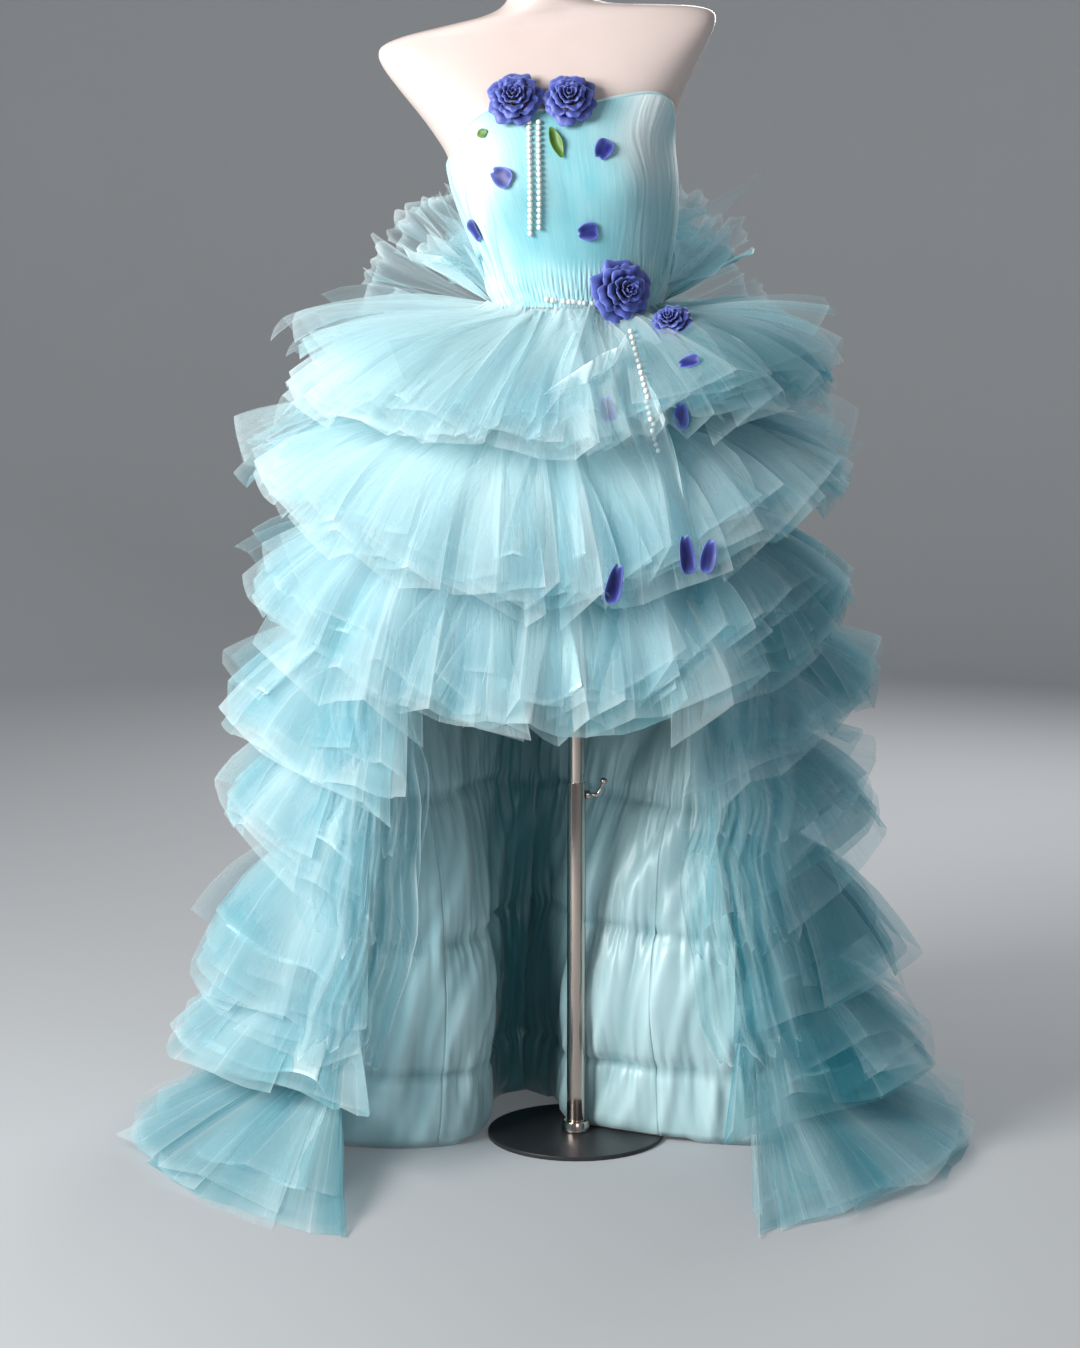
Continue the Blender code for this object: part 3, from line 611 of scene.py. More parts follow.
def carried(points, matrix):
    """Points moved by a matrix."""
    m = np.array(matrix)
    return points @ m[:3, :3].T + m[:3, 3]


# Finishes
def add_node(tree, kind, inputs=None, **settings):
    """A shader node with its settings, and its inputs joined to sockets or given values."""
    node = tree.nodes.new(kind)
    for key, value in settings.items():
        setattr(node, key, value)
    for key, value in (inputs or {}).items():
        if isinstance(value, bpy.types.NodeSocket):
            tree.links.new(value, node.inputs[key])
        else:
            node.inputs[key].default_value = value
    return node


def new_finish(name):
    """A node material with no nodes, and its tree."""
    made = bpy.data.materials.get(name) or bpy.data.materials.new(name)
    made.use_nodes = True
    made.node_tree.nodes.clear()
    return made, made.node_tree


def shown(made, shader):
    """The material with a shader's socket joined to its output."""
    output = add_node(made.node_tree, "ShaderNodeOutputMaterial")
    made.node_tree.links.new(shader, output.inputs[0])
    return made


def coated(made, **inputs):
    """The material with one principled surface; _ stands for a space in an input's name."""
    named = {key.replace("_", " "): value for key, value in inputs.items()}
    return shown(made, add_node(made.node_tree, "ShaderNodeBsdfPrincipled", named).outputs[0])


def colour(values):
    """An opaque RGBA colour."""
    return (*values[:3], 1.0)


def object_place(tree):
    """The piece's own coordinates, in metres."""
    return add_node(tree, "ShaderNodeTexCoord").outputs["Object"]


def cloth_place(tree, across, down):
    """The cloth's UV map in metres, times a rate across and down."""
    uv = add_node(tree, "ShaderNodeUVMap", uv_map="cloth").outputs[0]
    rates = {"Vector": uv, "Scale": (across, down, 1)}
    return add_node(tree, "ShaderNodeMapping", rates).outputs[0]


def mark(tree, name):
    """A point attribute of the piece."""
    return add_node(tree, "ShaderNodeAttribute", attribute_name=name).outputs["Fac"]


def noise(tree, where, scale=1.0, detail=2.0, roughness=0.5, distortion=0.0, **settings):
    """Noise of about 0 to 1 at a place."""
    return add_node(tree, "ShaderNodeTexNoise", {
        "Vector": where, "Scale": scale, "Detail": detail, "Roughness": roughness,
        "Distortion": distortion,
    }, **settings).outputs["Fac"]


def embossed(tree, height, strength, distance, **under):
    """A normal bent by a height of up to distance, in metres; under may give Normal."""
    inputs = {"Height": height, "Strength": strength, "Distance": distance, **under}
    return add_node(tree, "ShaderNodeBump", inputs).outputs[0]


def sum_of(tree, *terms):
    """The sum of sockets times numbers, and plain numbers."""
    total = 0.0
    for term in terms:
        if isinstance(term, tuple):
            socket, weight = term
            node = add_node(tree, "ShaderNodeMath", {0: socket, 1: weight, 2: total},
                            operation="MULTIPLY_ADD")
            total = node.outputs[0]
        else:
            total = term
    return total


def blend_of(tree, fac, first, second):
    """A colour between two, by a factor."""
    inputs = {"Factor": fac, 6: colour(first), 7: colour(second)}
    return add_node(tree, "ShaderNodeMix", inputs, data_type="RGBA").outputs[2]


def mix_shaders(tree, fac, first, second):
    """A shader between two, by a factor."""
    return add_node(tree, "ShaderNodeMixShader", {0: fac, 1: first, 2: second}).outputs[0]


def scaled(tone, factor):
    """A colour times a number."""
    return tuple(factor * c for c in tone)


def tulle_finish(name, settings, deep):
    """Net: part clear and part lit from both sides, with thread streaks that run down it.

    The piece's attribute cover says how closed the net is, and shade how deep in a fold. shade is
    painted shade and highlight, and deep adds painted shade to the layers that lie under others.
    """
    made, tree = new_finish(name)
    streak = noise(tree, cloth_place(tree, 150.0, 6.0), roughness=0.6)
    drift = noise(tree, cloth_place(tree, 17.0, 4.0), detail=1.0)
    # Painted shade and highlight from the attribute shade and from deep; streak and drift are real
    # tone
    tint = sum_of(tree, deep - 0.56, (mark(tree, "shade"), 1.25), (drift, 0.72), (streak, 0.32))
    base = blend_of(tree, tint, settings.pale, settings.deep)
    closed = sum_of(tree, settings.cover - 0.21, (mark(tree, "cover"), 1.0), (streak, 0.22),
                    (drift, 0.20))
    limits = {"Value": closed, "Min": 0.04, "Max": 1.0}
    closed = add_node(tree, "ShaderNodeClamp", limits).outputs[0]
    cloth = add_node(tree, "ShaderNodeBsdfPrincipled", {
        "Base Color": base, "Roughness": 0.75, "Sheen Weight": 0.25, "Sheen Roughness": 0.4,
        "Specular IOR Level": 0.25, "Normal": embossed(tree, streak, 0.6, 0.003),
    }).outputs[0]
    through = add_node(tree, "ShaderNodeBsdfTranslucent", {"Color": base}).outputs[0]
    clear = add_node(tree, "ShaderNodeBsdfTransparent", {"Color": colour((0.91, 0.965, 0.98))})
    lit = mix_shaders(tree, 0.42, cloth, through)
    return shown(made, mix_shaders(tree, closed, clear.outputs[0], lit))


def satin_finish(settings):
    """Satin: creases, a fine twill bump, a soft sheen and colour deepened by its painted shade."""
    made, tree = new_finish("satin")
    drift = noise(tree, cloth_place(tree, 9.0, 3.0), detail=3.0, roughness=0.55)
    thread = noise(tree, cloth_place(tree, 900.0, 120.0), roughness=0.6)
    twill = add_node(tree, "ShaderNodeTexWave", {
        "Vector": cloth_place(tree, 1500.0, 1500.0), "Scale": 0.16, "Distortion": 0.4,
    }, wave_type="BANDS", bands_direction="DIAGONAL").outputs["Fac"]
    tint = sum_of(tree, -0.22, (mark(tree, "shade"), 0.90), (drift, 0.40), (thread, 0.08))
    crumple = noise(tree, cloth_place(tree, 15.0, 6.0), detail=4.0, distortion=0.8,
                    noise_type="RIDGED_MULTIFRACTAL")
    creased = embossed(tree, crumple, 0.4, 0.0040)
    weave = sum_of(tree, (thread, 0.6), (twill, 0.4))
    return coated(
        made, Base_Color=blend_of(tree, tint, settings.pale, settings.deep),
        Roughness=sum_of(tree, settings.roughness - 0.05, (drift, 0.14)),
        Normal=embossed(tree, weave, 0.22, 0.0003, Normal=creased),
        Sheen_Weight=0.35, Sheen_Roughness=0.35, Specular_IOR_Level=0.55,
    )


def gauze_finish(settings):
    """The bodice's gathered overlay: silk gauze on satin, with streaks down its gathers."""
    made, tree = new_finish("bodice_gauze")
    streak = noise(tree, cloth_place(tree, 330.0, 14.0), roughness=0.65)
    drift = noise(tree, cloth_place(tree, 16.0, 10.0))
    # Painted shade and highlight come in through the attribute shade; streak and drift are real
    # tone
    tint = sum_of(tree, -0.28, (mark(tree, "shade"), 1.0), (drift, 0.40), (streak, 0.26))
    return coated(
        made, Base_Color=blend_of(tree, tint, settings.bodice_pale, settings.bodice_deep),
        Roughness=0.52, Normal=embossed(tree, streak, 0.30, 0.0006),
        Sheen_Weight=0.45, Sheen_Roughness=0.4, Specular_IOR_Level=0.4,
    )


def petal_finish(name, body, rim, veins):
    """Pressed cloth petals or leaves: veins down them and a paler rim, by the attribute rim.

    On the roses the paler rim is a painted highlight on the petals' lips and their dark colour
    painted shade.
    """
    made, tree = new_finish(name)
    vein = noise(tree, cloth_place(tree, veins, veins * 0.12), detail=3.0)
    fac = sum_of(tree, -0.16, (mark(tree, "rim"), 0.8), (vein, 0.36))
    return coated(made, Base_Color=blend_of(tree, fac, body, rim), Roughness=0.48,
                  Normal=embossed(tree, vein, 0.35, 0.0006), Sheen_Weight=0.3, Sheen_Roughness=0.4)


def pearl_finish(tone):
    """Glass pearl: a soft coat over a lustre that drifts between cream and grey."""
    made, tree = new_finish("pearl")
    drift = noise(tree, object_place(tree), 160.0)
    return coated(made, Base_Color=blend_of(tree, drift, tone, (0.86, 0.80, 0.74)),
                  Roughness=0.22, Coat_Weight=0.6, Coat_Roughness=0.08,
                  Subsurface_Weight=0.1, Subsurface_Radius=(0.002, 0.002, 0.002))


def skin_finish(tone):
    """The form's matt varnished shell: faint mottling and orange peel."""
    made, tree = new_finish("form_shell")
    where = object_place(tree)
    mottle, peel = noise(tree, where, 14.0, 4.0), noise(tree, where, 650.0)
    return coated(made, Base_Color=blend_of(tree, mottle, tone, scaled(tone, 0.9)),
                  Roughness=0.36, Normal=embossed(tree, peel, 0.06, 0.0004),
                  Subsurface_Weight=0.08, Subsurface_Radius=(0.01, 0.005, 0.003),
                  Coat_Weight=0.15, Coat_Roughness=0.25)


def metal_finish(name, tone, polish):
    """Plated tube: faint draw lines along it and smears that change its polish."""
    made, tree = new_finish(name)
    where = object_place(tree)
    drawn = add_node(tree, "ShaderNodeMapping", {"Vector": where, "Scale": (900.0, 900.0, 3.0)})
    line, smear = noise(tree, drawn.outputs[0]), noise(tree, where, 22.0, 4.0)
    return coated(made, Base_Color=blend_of(tree, smear, tone, scaled(tone, 0.86)), Metallic=1.0,
                  Roughness=sum_of(tree, polish - 0.05, (smear, 0.08), (line, 0.04)),
                  Normal=embossed(tree, line, 0.05, 0.0002))


def lacquer_finish(tone):
    """Black powder-coated steel, finely pebbled."""
    made, tree = new_finish("base_lacquer")
    where = object_place(tree)
    pebble, worn = noise(tree, where, 900.0), noise(tree, where, 9.0, 5.0)
    return coated(made, Base_Color=blend_of(tree, worn, tone, scaled(tone, 2.2)),
                  Roughness=0.42, Normal=embossed(tree, pebble, 0.35, 0.0004))


def floor_finish(tone, glow):
    """Seamless studio paper that glows faintly, as if lit from all round."""
    made, tree = new_finish("studio_paper")
    grain = noise(tree, object_place(tree), 3.0)
    return coated(made, Base_Color=blend_of(tree, grain, tone, scaled(tone, 0.97)),
                  Roughness=0.85, Emission_Color=colour(SKY),
                  Emission_Strength=glow)


# Settings
def colour_property(name, description, default):
    """A linear RGB colour that the sidebar shows."""
    return FloatVectorProperty(name=name, description=description, default=default,
                               subtype="COLOR", size=3, min=0.0, max=1.0)


class TulleSettings(PropertyGroup):
    """The net that the tiers are cut from."""

    # pale is the net in painted light and deep the painted shade of its folds
    pale: colour_property("Pale net", "Colour of one layer in the light", (0.88, 0.99, 1.00))
    deep: colour_property("Deep net", "Colour where folds are deep", (0.085, 0.43, 0.505))
    cover: FloatProperty(name="Cover", description="How closed one layer of net is",
                         default=0.36, min=0.0, max=1.0, subtype="FACTOR")
    pleat_overlap: FloatProperty(name="Pleat overlap", description="How far pleats fold over",
                                 default=1.15, min=0.0, max=2.0)
    gather: FloatProperty(name="Gather depth", description="Depth of the fine gathers at a seam",
                          default=0.0030, min=0.0, max=0.01, unit="LENGTH", subtype="DISTANCE")
    seed: IntProperty(name="Seed", description="Start of the pleats' random draws", default=11)


class SatinSettings(PropertyGroup):
    """The satin lining and the bodice over it."""

    # pale and deep are the satin in painted light and in painted shade in its folds; bodice_pale
    # is the gauze in painted highlight over its gathers, bodice_deep its deeper colour at the
    # smooth centre
    pale: colour_property("Pale satin", "Satin in the light", (0.50, 0.69, 0.72))
    deep: colour_property("Deep satin", "Satin in its folds", (0.022, 0.145, 0.170))
    bodice_pale: colour_property("Pale bodice", "Bodice over its gathers", (0.84, 0.96, 0.98))
    bodice_deep: colour_property("Deep bodice", "Bodice at its centre", (0.145, 0.46, 0.525))
    roughness: FloatProperty(name="Roughness", description="Roughness of the satin's face",
                             default=0.36, min=0.0, max=1.0, subtype="FACTOR")
    pucker: FloatProperty(name="Pucker", description="Depth of the puckers at a joining seam",
                          default=0.0028, min=0.0, max=0.01, unit="LENGTH", subtype="DISTANCE")


class TrimSettings(PropertyGroup):
    """Roses, petals, leaves and pearls."""

    # rose is the petals' colour deepened by painted shade inside, rose_rim a painted highlight on
    # lips
    rose: colour_property("Rose", "Colour inside a petal", (0.006, 0.011, 0.155))
    rose_rim: colour_property("Rose rim", "Colour of a petal's rim", (0.170, 0.230, 0.720))
    leaf: colour_property("Leaf", "Colour of a leaf", (0.060, 0.150, 0.012))
    pearl: colour_property("Pearl", "Colour of the pearls", (0.80, 0.80, 0.78))
    pearl_size: FloatProperty(name="Pearl diameter", description="Diameter of one pearl",
                              default=0.0070, min=0.002, max=0.02, unit="LENGTH",
                              subtype="DISTANCE")


class StandSettings(PropertyGroup):
    """The form, its pole and its base."""

    shell: colour_property("Form", "Colour of the form's shell", (0.70, 0.585, 0.55))
    plating: colour_property("Plating", "Colour of the plated tube", (0.62, 0.51, 0.45))
    lacquer: colour_property("Base", "Colour of the base", (0.012, 0.012, 0.014))


class StageSettings(PropertyGroup):
    """Floor, backdrop and lights."""

    paper: colour_property("Paper", "Colour of floor and backdrop", (0.36, 0.375, 0.39))
    key: FloatProperty(name="Key light", description="Power of the light from the left",
                       default=165.0, min=0.0, subtype="POWER", unit="POWER")
    fill: FloatProperty(name="Fill light", description="Power of the light from the right",
                        default=20.0, min=0.0, subtype="POWER", unit="POWER")
    glow: FloatProperty(name="Glow", description="Light that the backdrop gives back all round",
                        default=0.07, min=0.0, max=5.0)
    ambient: FloatProperty(name="Ambient", description="Strength of the light all round",
                           default=0.16, min=0.0, max=5.0)


# Form and stand
def add_form(settings):
    """The form's skin in fine steps of azimuth and height, closed at the hips and the neck."""
    columns, rows_a_step = 144, 8
    azimuth = np.linspace(0, 360, columns, endpoint=False)[None, :]
    knots = FORM["height"]
    last = len(knots) - 1
    height = np.interp(np.linspace(0, last, rows_a_step * last + 1), np.arange(last + 1), knots)
    mesh = closed_tube_mesh("dress_form", form_point(azimuth, height[:, None]))
    new_piece("dress_form", mesh, skin_finish(settings.shell), "form", "form_torso")


def add_stand(settings):
    """Turned base, boss, poles and socket with rounded corners, and the bent clamp lever."""
    plating = metal_finish("plated_tube", settings.plating, 0.10)
    lacquer = lacquer_finish(settings.lacquer)
    top = BASE_THICKNESS
    foot = top + SEAM
    pole, inner_pole, wall, join = 0.0125, 0.0110, 0.0010, 0.487
    parts = [
        ("base_disc", "stand_base", lacquer, "base", 0.0012,
         [(0.0, top), (BASE_RADIUS, top), (BASE_RADIUS, 0.0), (0.0, 0.0)]),
        ("base_boss", "stand_boss", plating, "chrome", 0.0014,
         [(pole + SEAM, top + 0.014), (0.017, top + 0.014), (0.020, foot), (pole + SEAM, foot)]),
        ("outer_pole", "pole_lower", plating, "chrome", 0.0004,
         [(pole - wall, join), (pole, join), (pole, foot), (pole - wall, foot)]),
        ("inner_pole", "pole_upper", plating, "chrome", 0.0006,
         [(0.0, FORM_BOTTOM - SEAM), (inner_pole, FORM_BOTTOM - SEAM),
          (inner_pole, join - 0.080), (0.0, join - 0.080)]),
        ("pole_socket", "form_socket", plating, "chrome", 0.0012,
         [(inner_pole + SEAM, FORM_BOTTOM - SEAM), (0.030, FORM_BOTTOM - SEAM),
          (0.030, FORM_BOTTOM - SEAM - 0.010), (inner_pole + SEAM, FORM_BOTTOM - SEAM - 0.010)]),
    ]
    for name, node, finish, slot, radius, corners in parts:
        profile = rounded(corners, radius)
        if corners[0][0] == 0.0:
            profile = np.array([p for p in profile if p[0] > radius * 0.5])
            profile = np.vstack([(0.0, corners[0][1]), profile, (0.0, corners[-1][1])])
        else:
            profile = np.vstack([profile, profile[:1]])
        mesh = merged(grid_mesh(name, [turned_grid(profile, 64)], closed=True))
        piece = new_piece(name, mesh, finish, slot, node)
        piece.data.set_sharp_from_angle(angle=math.radians(50))

    boss_start, boss_end, height = pole + SEAM, pole + SEAM + 0.006, 0.470
    run = [0.0, 0.0001, 0.0006, 0.0030, 0.0055, 0.0060]
    radii = [0.0056, 0.0063, 0.0065, 0.0060, 0.0055, 0.0048]
    path = [(boss_start + x, 0.0, height) for x in run]
    mesh = closed_tube_mesh("screw_boss", tube_grid(path, radii, 40))
    new_piece("screw_boss", mesh, plating, "chrome", "clamp_boss")

    rod, ball, start = 0.0028, 0.0050, boss_end + 1.5 * SEAM
    bends = table(
        "out up size",
        (0.0000, 0.0000, 1.0), (0.0060, -0.0005, 1.0), (0.0095, 0.0015, 1.0),
        (0.0120, 0.0060, 0.95), (0.0150, 0.0135, 0.9), (0.0156, 0.0150, 1.0),
        (0.0159, 0.0158, 1.35), (0.0163, 0.0169, 1.62), (0.0169, 0.0187, ball / rod),
        (0.0175, 0.0204, 1.62), (0.0179, 0.0216, 1.30), (0.0183, 0.0226, 0.55),
    )
    fine = np.linspace(0, len(bends["out"]) - 1, 56)
    bends["step"] = np.arange(len(bends["out"]), dtype=float)
    out, up, size = (along(bends, "step", fine, c) for c in ("out", "up", "size"))
    path = stack(start + out, 0.0, height + up)
    mesh = closed_tube_mesh("clamp_handle", tube_grid(path, rod * size, 28))
    new_piece("clamp_handle", mesh, plating, "chrome", "clamp_lever", body=SCREW)


# Bodice and lining
def bodice_gathers(azimuth, t):
    """Relief of the overlay's gathers, in metres, and how smooth the cloth lies, from 0 to 1.

    Fine folds run down the right cup and side, soft ones down the left, and short shirred ones
    fan out above the waist. Each is a ripple of the azimuth that wanders with the height.
    """
    turn = wrapped(azimuth)
    right = smooth((turn - 14 - 10 * t) / 24)
    left = smooth((-turn - 30) / 26)
    waist = 1 - smooth((t - 0.10) / 0.17)
    wander = 2.6 * np.sin(4.1 * t + 0.11 * turn) + 1.1 * np.sin(11.0 * t - 0.23 * turn)
    fades = smooth(0.55 + 0.75 * ripple(0.45 * turn + 4.5 * t, 1.0))
    fine = (0.8 * ripple(1.05 * (turn + wander), 0.6) * fades
            + 0.45 * ripple(3.1 * (turn + 1.3 * wander) + 6 * t, 2.2) * (1 - 0.6 * fades))
    soft = ripple(0.52 * (turn + 2 * wander), 3.1)
    shirr = ripple(2.1 * turn + 2.5 * np.sin(11 * t), 1.7) + 0.5 * ripple(4.3 * turn + 20 * t, 0.4)
    relief = 0.00055 * right * fine + 0.0009 * left * soft + 0.0014 * waist * shirr
    relief = relief + 0.0030 * bump(t, 0.125, 0.070) - 0.0016 * bump(t, 0.0, 0.03)
    calm = (1 - 0.85 * right) * (1 - 0.75 * left) * (1 - 0.45 * waist)
    # The third value, the gathers' ripple, drives painted shade in their hollows and highlight on
    # ridges
    return relief + 0.0008 * (right + left), calm, 0.7 * fine * right + soft * left + shirr * waist


def add_bodice(settings):
    """Three bodice panels with raised gathers, and the binding along the neckline."""
    finish = gauze_finish(settings)
    half_width = 0.14
    panels = [
        ("bodice_cloth_front", "bodice_front", -88.0, 88.0, 260),
        ("bodice_cloth_back_right", "bodice_back_right", 88.0, 180.0, 90),
        ("bodice_cloth_back_left", "bodice_back_left", 180.0, 272.0, 90),
    ]
    binding = []
    for name, node, start, end, columns in panels:
        gap = math.degrees(0.5 * SEAM / half_width)
        azimuth = np.linspace(start + gap, end - gap, columns)[None, :]
        t = np.append(np.linspace(0, 0.97, 70), (0.98, 0.987, 0.994, 1.0))[:, None]
        relief, calm, fold = bodice_gathers(azimuth, t)
        relief = relief * (1 - smooth((t - 0.975) / 0.02))
        points = bodice_point(azimuth, t, SATIN / 2 + relief)
        turn = wrapped(azimuth)
        # Painted light: lit is a painted highlight on both cups, side a painted shade down the
        # right side, and fold paints shade in the gathers' hollows and highlight on their ridges;
        # calm deepens the colour where the gauze lies smooth
        lit = bump(turn, 40.0, 17.0) * smooth((t - 0.45) / 0.35)
        lit = lit + 0.7 * bump(turn, -40.0, 20.0) * smooth((t - 0.40) / 0.3)
        side = 0.22 * bump(turn, 62.0, 30.0) * smooth((0.75 - t) / 0.3)
        shade = np.clip(0.46 + 0.38 * calm - 0.26 * fold - 0.55 * lit + side, 0, 1.1) + 0 * t
        mesh = grid_mesh(name, [points], marks={"shade": [shade]})
        piece = new_piece(name, mesh, finish, "satin", node, WALL)
        declare_sheet([points], "dress_form")
        binding.append(bodice_point(azimuth, 0.993, SATIN / 2)[0])
    mesh = merged(grid_mesh("neckline_binding", [binding_grid(np.concatenate(binding))]))
    new_piece("neckline_binding", mesh, satin_finish(settings), "satin")


def binding_grid(rim):
    """An oval roll carried round the neckline."""
    thick, tall, up = 0.0014, 0.0024, np.array((0, 0, 1.0))
    rim = np.concatenate([rim, rim[:1]])
    ahead = np.gradient(rim, axis=0)
    ahead[0] = ahead[-1] = rim[1] - rim[-2]
    ahead /= np.linalg.norm(ahead, axis=1, keepdims=True)
    side = np.cross(ahead, up)
    side /= np.linalg.norm(side, axis=1, keepdims=True)
    a = np.linspace(0, 2 * np.pi, 13)[:, None, None]
    return rim[None] + thick * np.cos(a) * side[None] + tall * np.sin(a) * up


# Heights of the satin's puckered seams, and where the deep fold between its halves lies, which
# painted shade darkens
SEAM_HEIGHTS = (0.456, 0.281, 0.099)
VALLEY_X = -0.065


def lining_folds(run, height, pucker):
    """Relief of the satin, in metres, from the run along the cloth and the height.

    Between two seams the cloth bags, soft drapes cross it aslant and die out at the seams, and
    at each seam it is drawn in between short puckers.
    """
    low = smooth((0.74 - height) / 0.16)
    warp = 0.020 * np.sin(9.0 * run + 5.0 * height) + 0.012 * np.sin(21.0 * run - 13.0 * height)
    drape = ripple(2 * np.pi * (0.90 * run + 0.30 * height + warp) / 0.110, 1.0)
    cross = ripple(2 * np.pi * (0.90 * run - 0.25 * height + 1.5 * warp) / 0.055, 4.0)
    patch = smooth(0.5 + 0.6 * ripple(11 * run + 6 * height, 2.0))
    relief = low * (0.0042 * drape + 0.0016 * cross * patch)
    # fold drives painted shade and highlight that follow the drapes and puckers, darkest at the
    # seams
    fold = low * (0.50 * drape + 0.24 * cross * patch)
    levels = (0.0, *SEAM_HEIGHTS[::-1], 0.78)
    for i, (under, over) in enumerate(zip(levels[:-1], levels[1:])):
        line = 0.006 * np.sin(7.0 * run + 2.0 * i)
        q = np.clip((height - under - line) / (over - under), 0, 1)
        full = 0.0085 + 0.0045 * ripple(14 * run + 3 * i, 1.0 + i)
        relief = relief + full * np.sin(np.pi * q**0.8) ** 0.8 * (1 if over < 0.7 else 0.5)
    for i, seam in enumerate(SEAM_HEIGHTS):
        gap = height - seam - 0.006 * np.sin(7.0 * run + 2.0 * i)
        fine = ripple(2 * np.pi * run / 0.021 + 3 * i, i) * np.exp(-np.abs(gap) / 0.014)
        wide = ripple(2 * np.pi * run / 0.048 + 5 * i, 2.0 + i) * np.exp(-np.abs(gap) / 0.040)
        relief = relief - 0.0050 * bump(gap, 0.0, 0.005)
        relief = relief + pucker * (fine + 1.6 * wide) * (1 - bump(gap, 0.0, 0.003))
        fold = fold - 0.9 * bump(gap, 0.0, 0.005) + 0.25 * fine + 0.30 * wide
    return relief, fold


def add_lining(settings):
    """The satin underskirt's five panels, with bagged and puckered seams down to the floor."""
    finish = satin_finish(settings)
    panels = [
        ("lining_cloth_front", "lining_front", -57.0, 57.0, 60, 60),
        ("lining_cloth_side_right", "lining_side_right", 57.0, 116.0, 100, 90),
        ("lining_cloth_back_right", "lining_back_right", 116.0, 180.0, 180, 140),
        ("lining_cloth_back_left", "lining_back_left", 180.0, 244.0, 180, 140),
        ("lining_cloth_side_left", "lining_side_left", 244.0, 303.0, 100, 90),
    ]
    gap = 0.01
    around = np.linspace(-57.0, 303.0, 1500)
    run_to = lengths(lining_point(around, np.full_like(around, 0.25))[None])[0][0]
    for name, node, start, end, columns, rows in panels:
        step = (end - start - 2 * gap) / (columns - 1)
        azimuth = (start + gap + step * np.arange(-1, columns + 1))[None, :]
        v = np.linspace(0, 1, rows)[:, None]
        height = mix(WAIST - SEAM, lining_hem(azimuth), v**1.15)
        base = lining_point(azimuth, height)
        relief, fold = lining_folds(np.interp(azimuth, around, run_to), height, settings.pucker)
        foot = smooth(height / 0.02)
        points = base + normals(base) * (SATIN / 2 - relief * foot)[..., None]
        points, fold = points[:, 1:-1], fold[:, 1:-1]
        x, y, z = np.moveaxis(points, -1, 0)
        # Painted shade: inside deepens the satin deep in the skirt, valley the fold behind the
        # pole and near the panel left of it; pale is a painted highlight at the far left, fold
        # paints shade and highlight
        inside = smooth((y - 0.01) / 0.07) * smooth((0.80 - z) / 0.2)
        valley = bump(x, VALLEY_X, 0.040) * inside
        near = smooth((x + 0.19) / 0.07) * smooth((-0.02 - x) / 0.04)
        near = near * (0.45 + 0.4 * smooth((0.3 - z) / 0.2))
        pale = 0.22 * smooth((-0.17 - x) / 0.04) * smooth((z - 0.12) / 0.1)
        points[..., 2] = np.maximum(points[..., 2], 0.0008)
        shade = np.clip(0.27 - 0.36 * fold + 1.1 * valley + inside * (0.55 * near - pale), 0, 1)
        mesh = grid_mesh(name, [points], marks={"shade": [shade]})
        piece = new_piece(name, mesh, finish, "satin", node, WALL)
        declare_sheet([points], "dress_form")


# Tulle
def pleats(draw, count, columns, overlap):
    """A pleated strip in plan, for points spaced evenly along its cloth.

    Fold lines stand at uneven places. Crests swing forward along the strip and valleys back, so
    the cloth doubles over itself. Returns the place along the strip, the distance out, and how
    near each point is to a fold line, all from 0 to 1.
    """
    lines = 2 * count + 1
    cloth = np.insert(np.cumsum(draw.uniform(0.55, 1.45, lines - 1)), 0, 0.0)
    cloth /= cloth[-1]
    step = 1.0 / (lines - 1)
    order = np.arange(lines)
    place = 0.5 * cloth + 0.5 * order * step
    zigzag = overlap * step * draw.uniform(0.25, 1.0, lines) * np.where(order % 2, 1.0, -1.0)
    zigzag[[0, -1]] = 0.0
    out = np.where(order % 2, draw.uniform(0.60, 1.0, lines), draw.uniform(0.0, 0.32, lines))
    at = np.linspace(0, 1, columns)
    place, out = (softened(np.interp(at, cloth, values), 2) for values in (place + zigzag, out))
    near = np.abs(at[:, None] - cloth[None, :]).min(axis=1) * columns
    return place, out, np.exp(-((near / 1.3) ** 2))


# Places of a strip's and a fan's rows from seam to hem, and of a fan's columns between two folds
STRIP_ROWS = np.array([0.0, 0.03, 0.08, 0.15, 0.24, 0.34, 0.45, 0.57, 0.69, 0.81, 0.91, 0.975,
                       0.985, 1.0])
FAN_ROWS = np.array([0.0, 0.04, 0.10, 0.19, 0.30, 0.43, 0.57, 0.71, 0.85, 0.95, 0.988, 1.0])
FOLD_STEPS = np.array([0.0, 0.05, 0.20, 0.50, 0.80, 0.95])


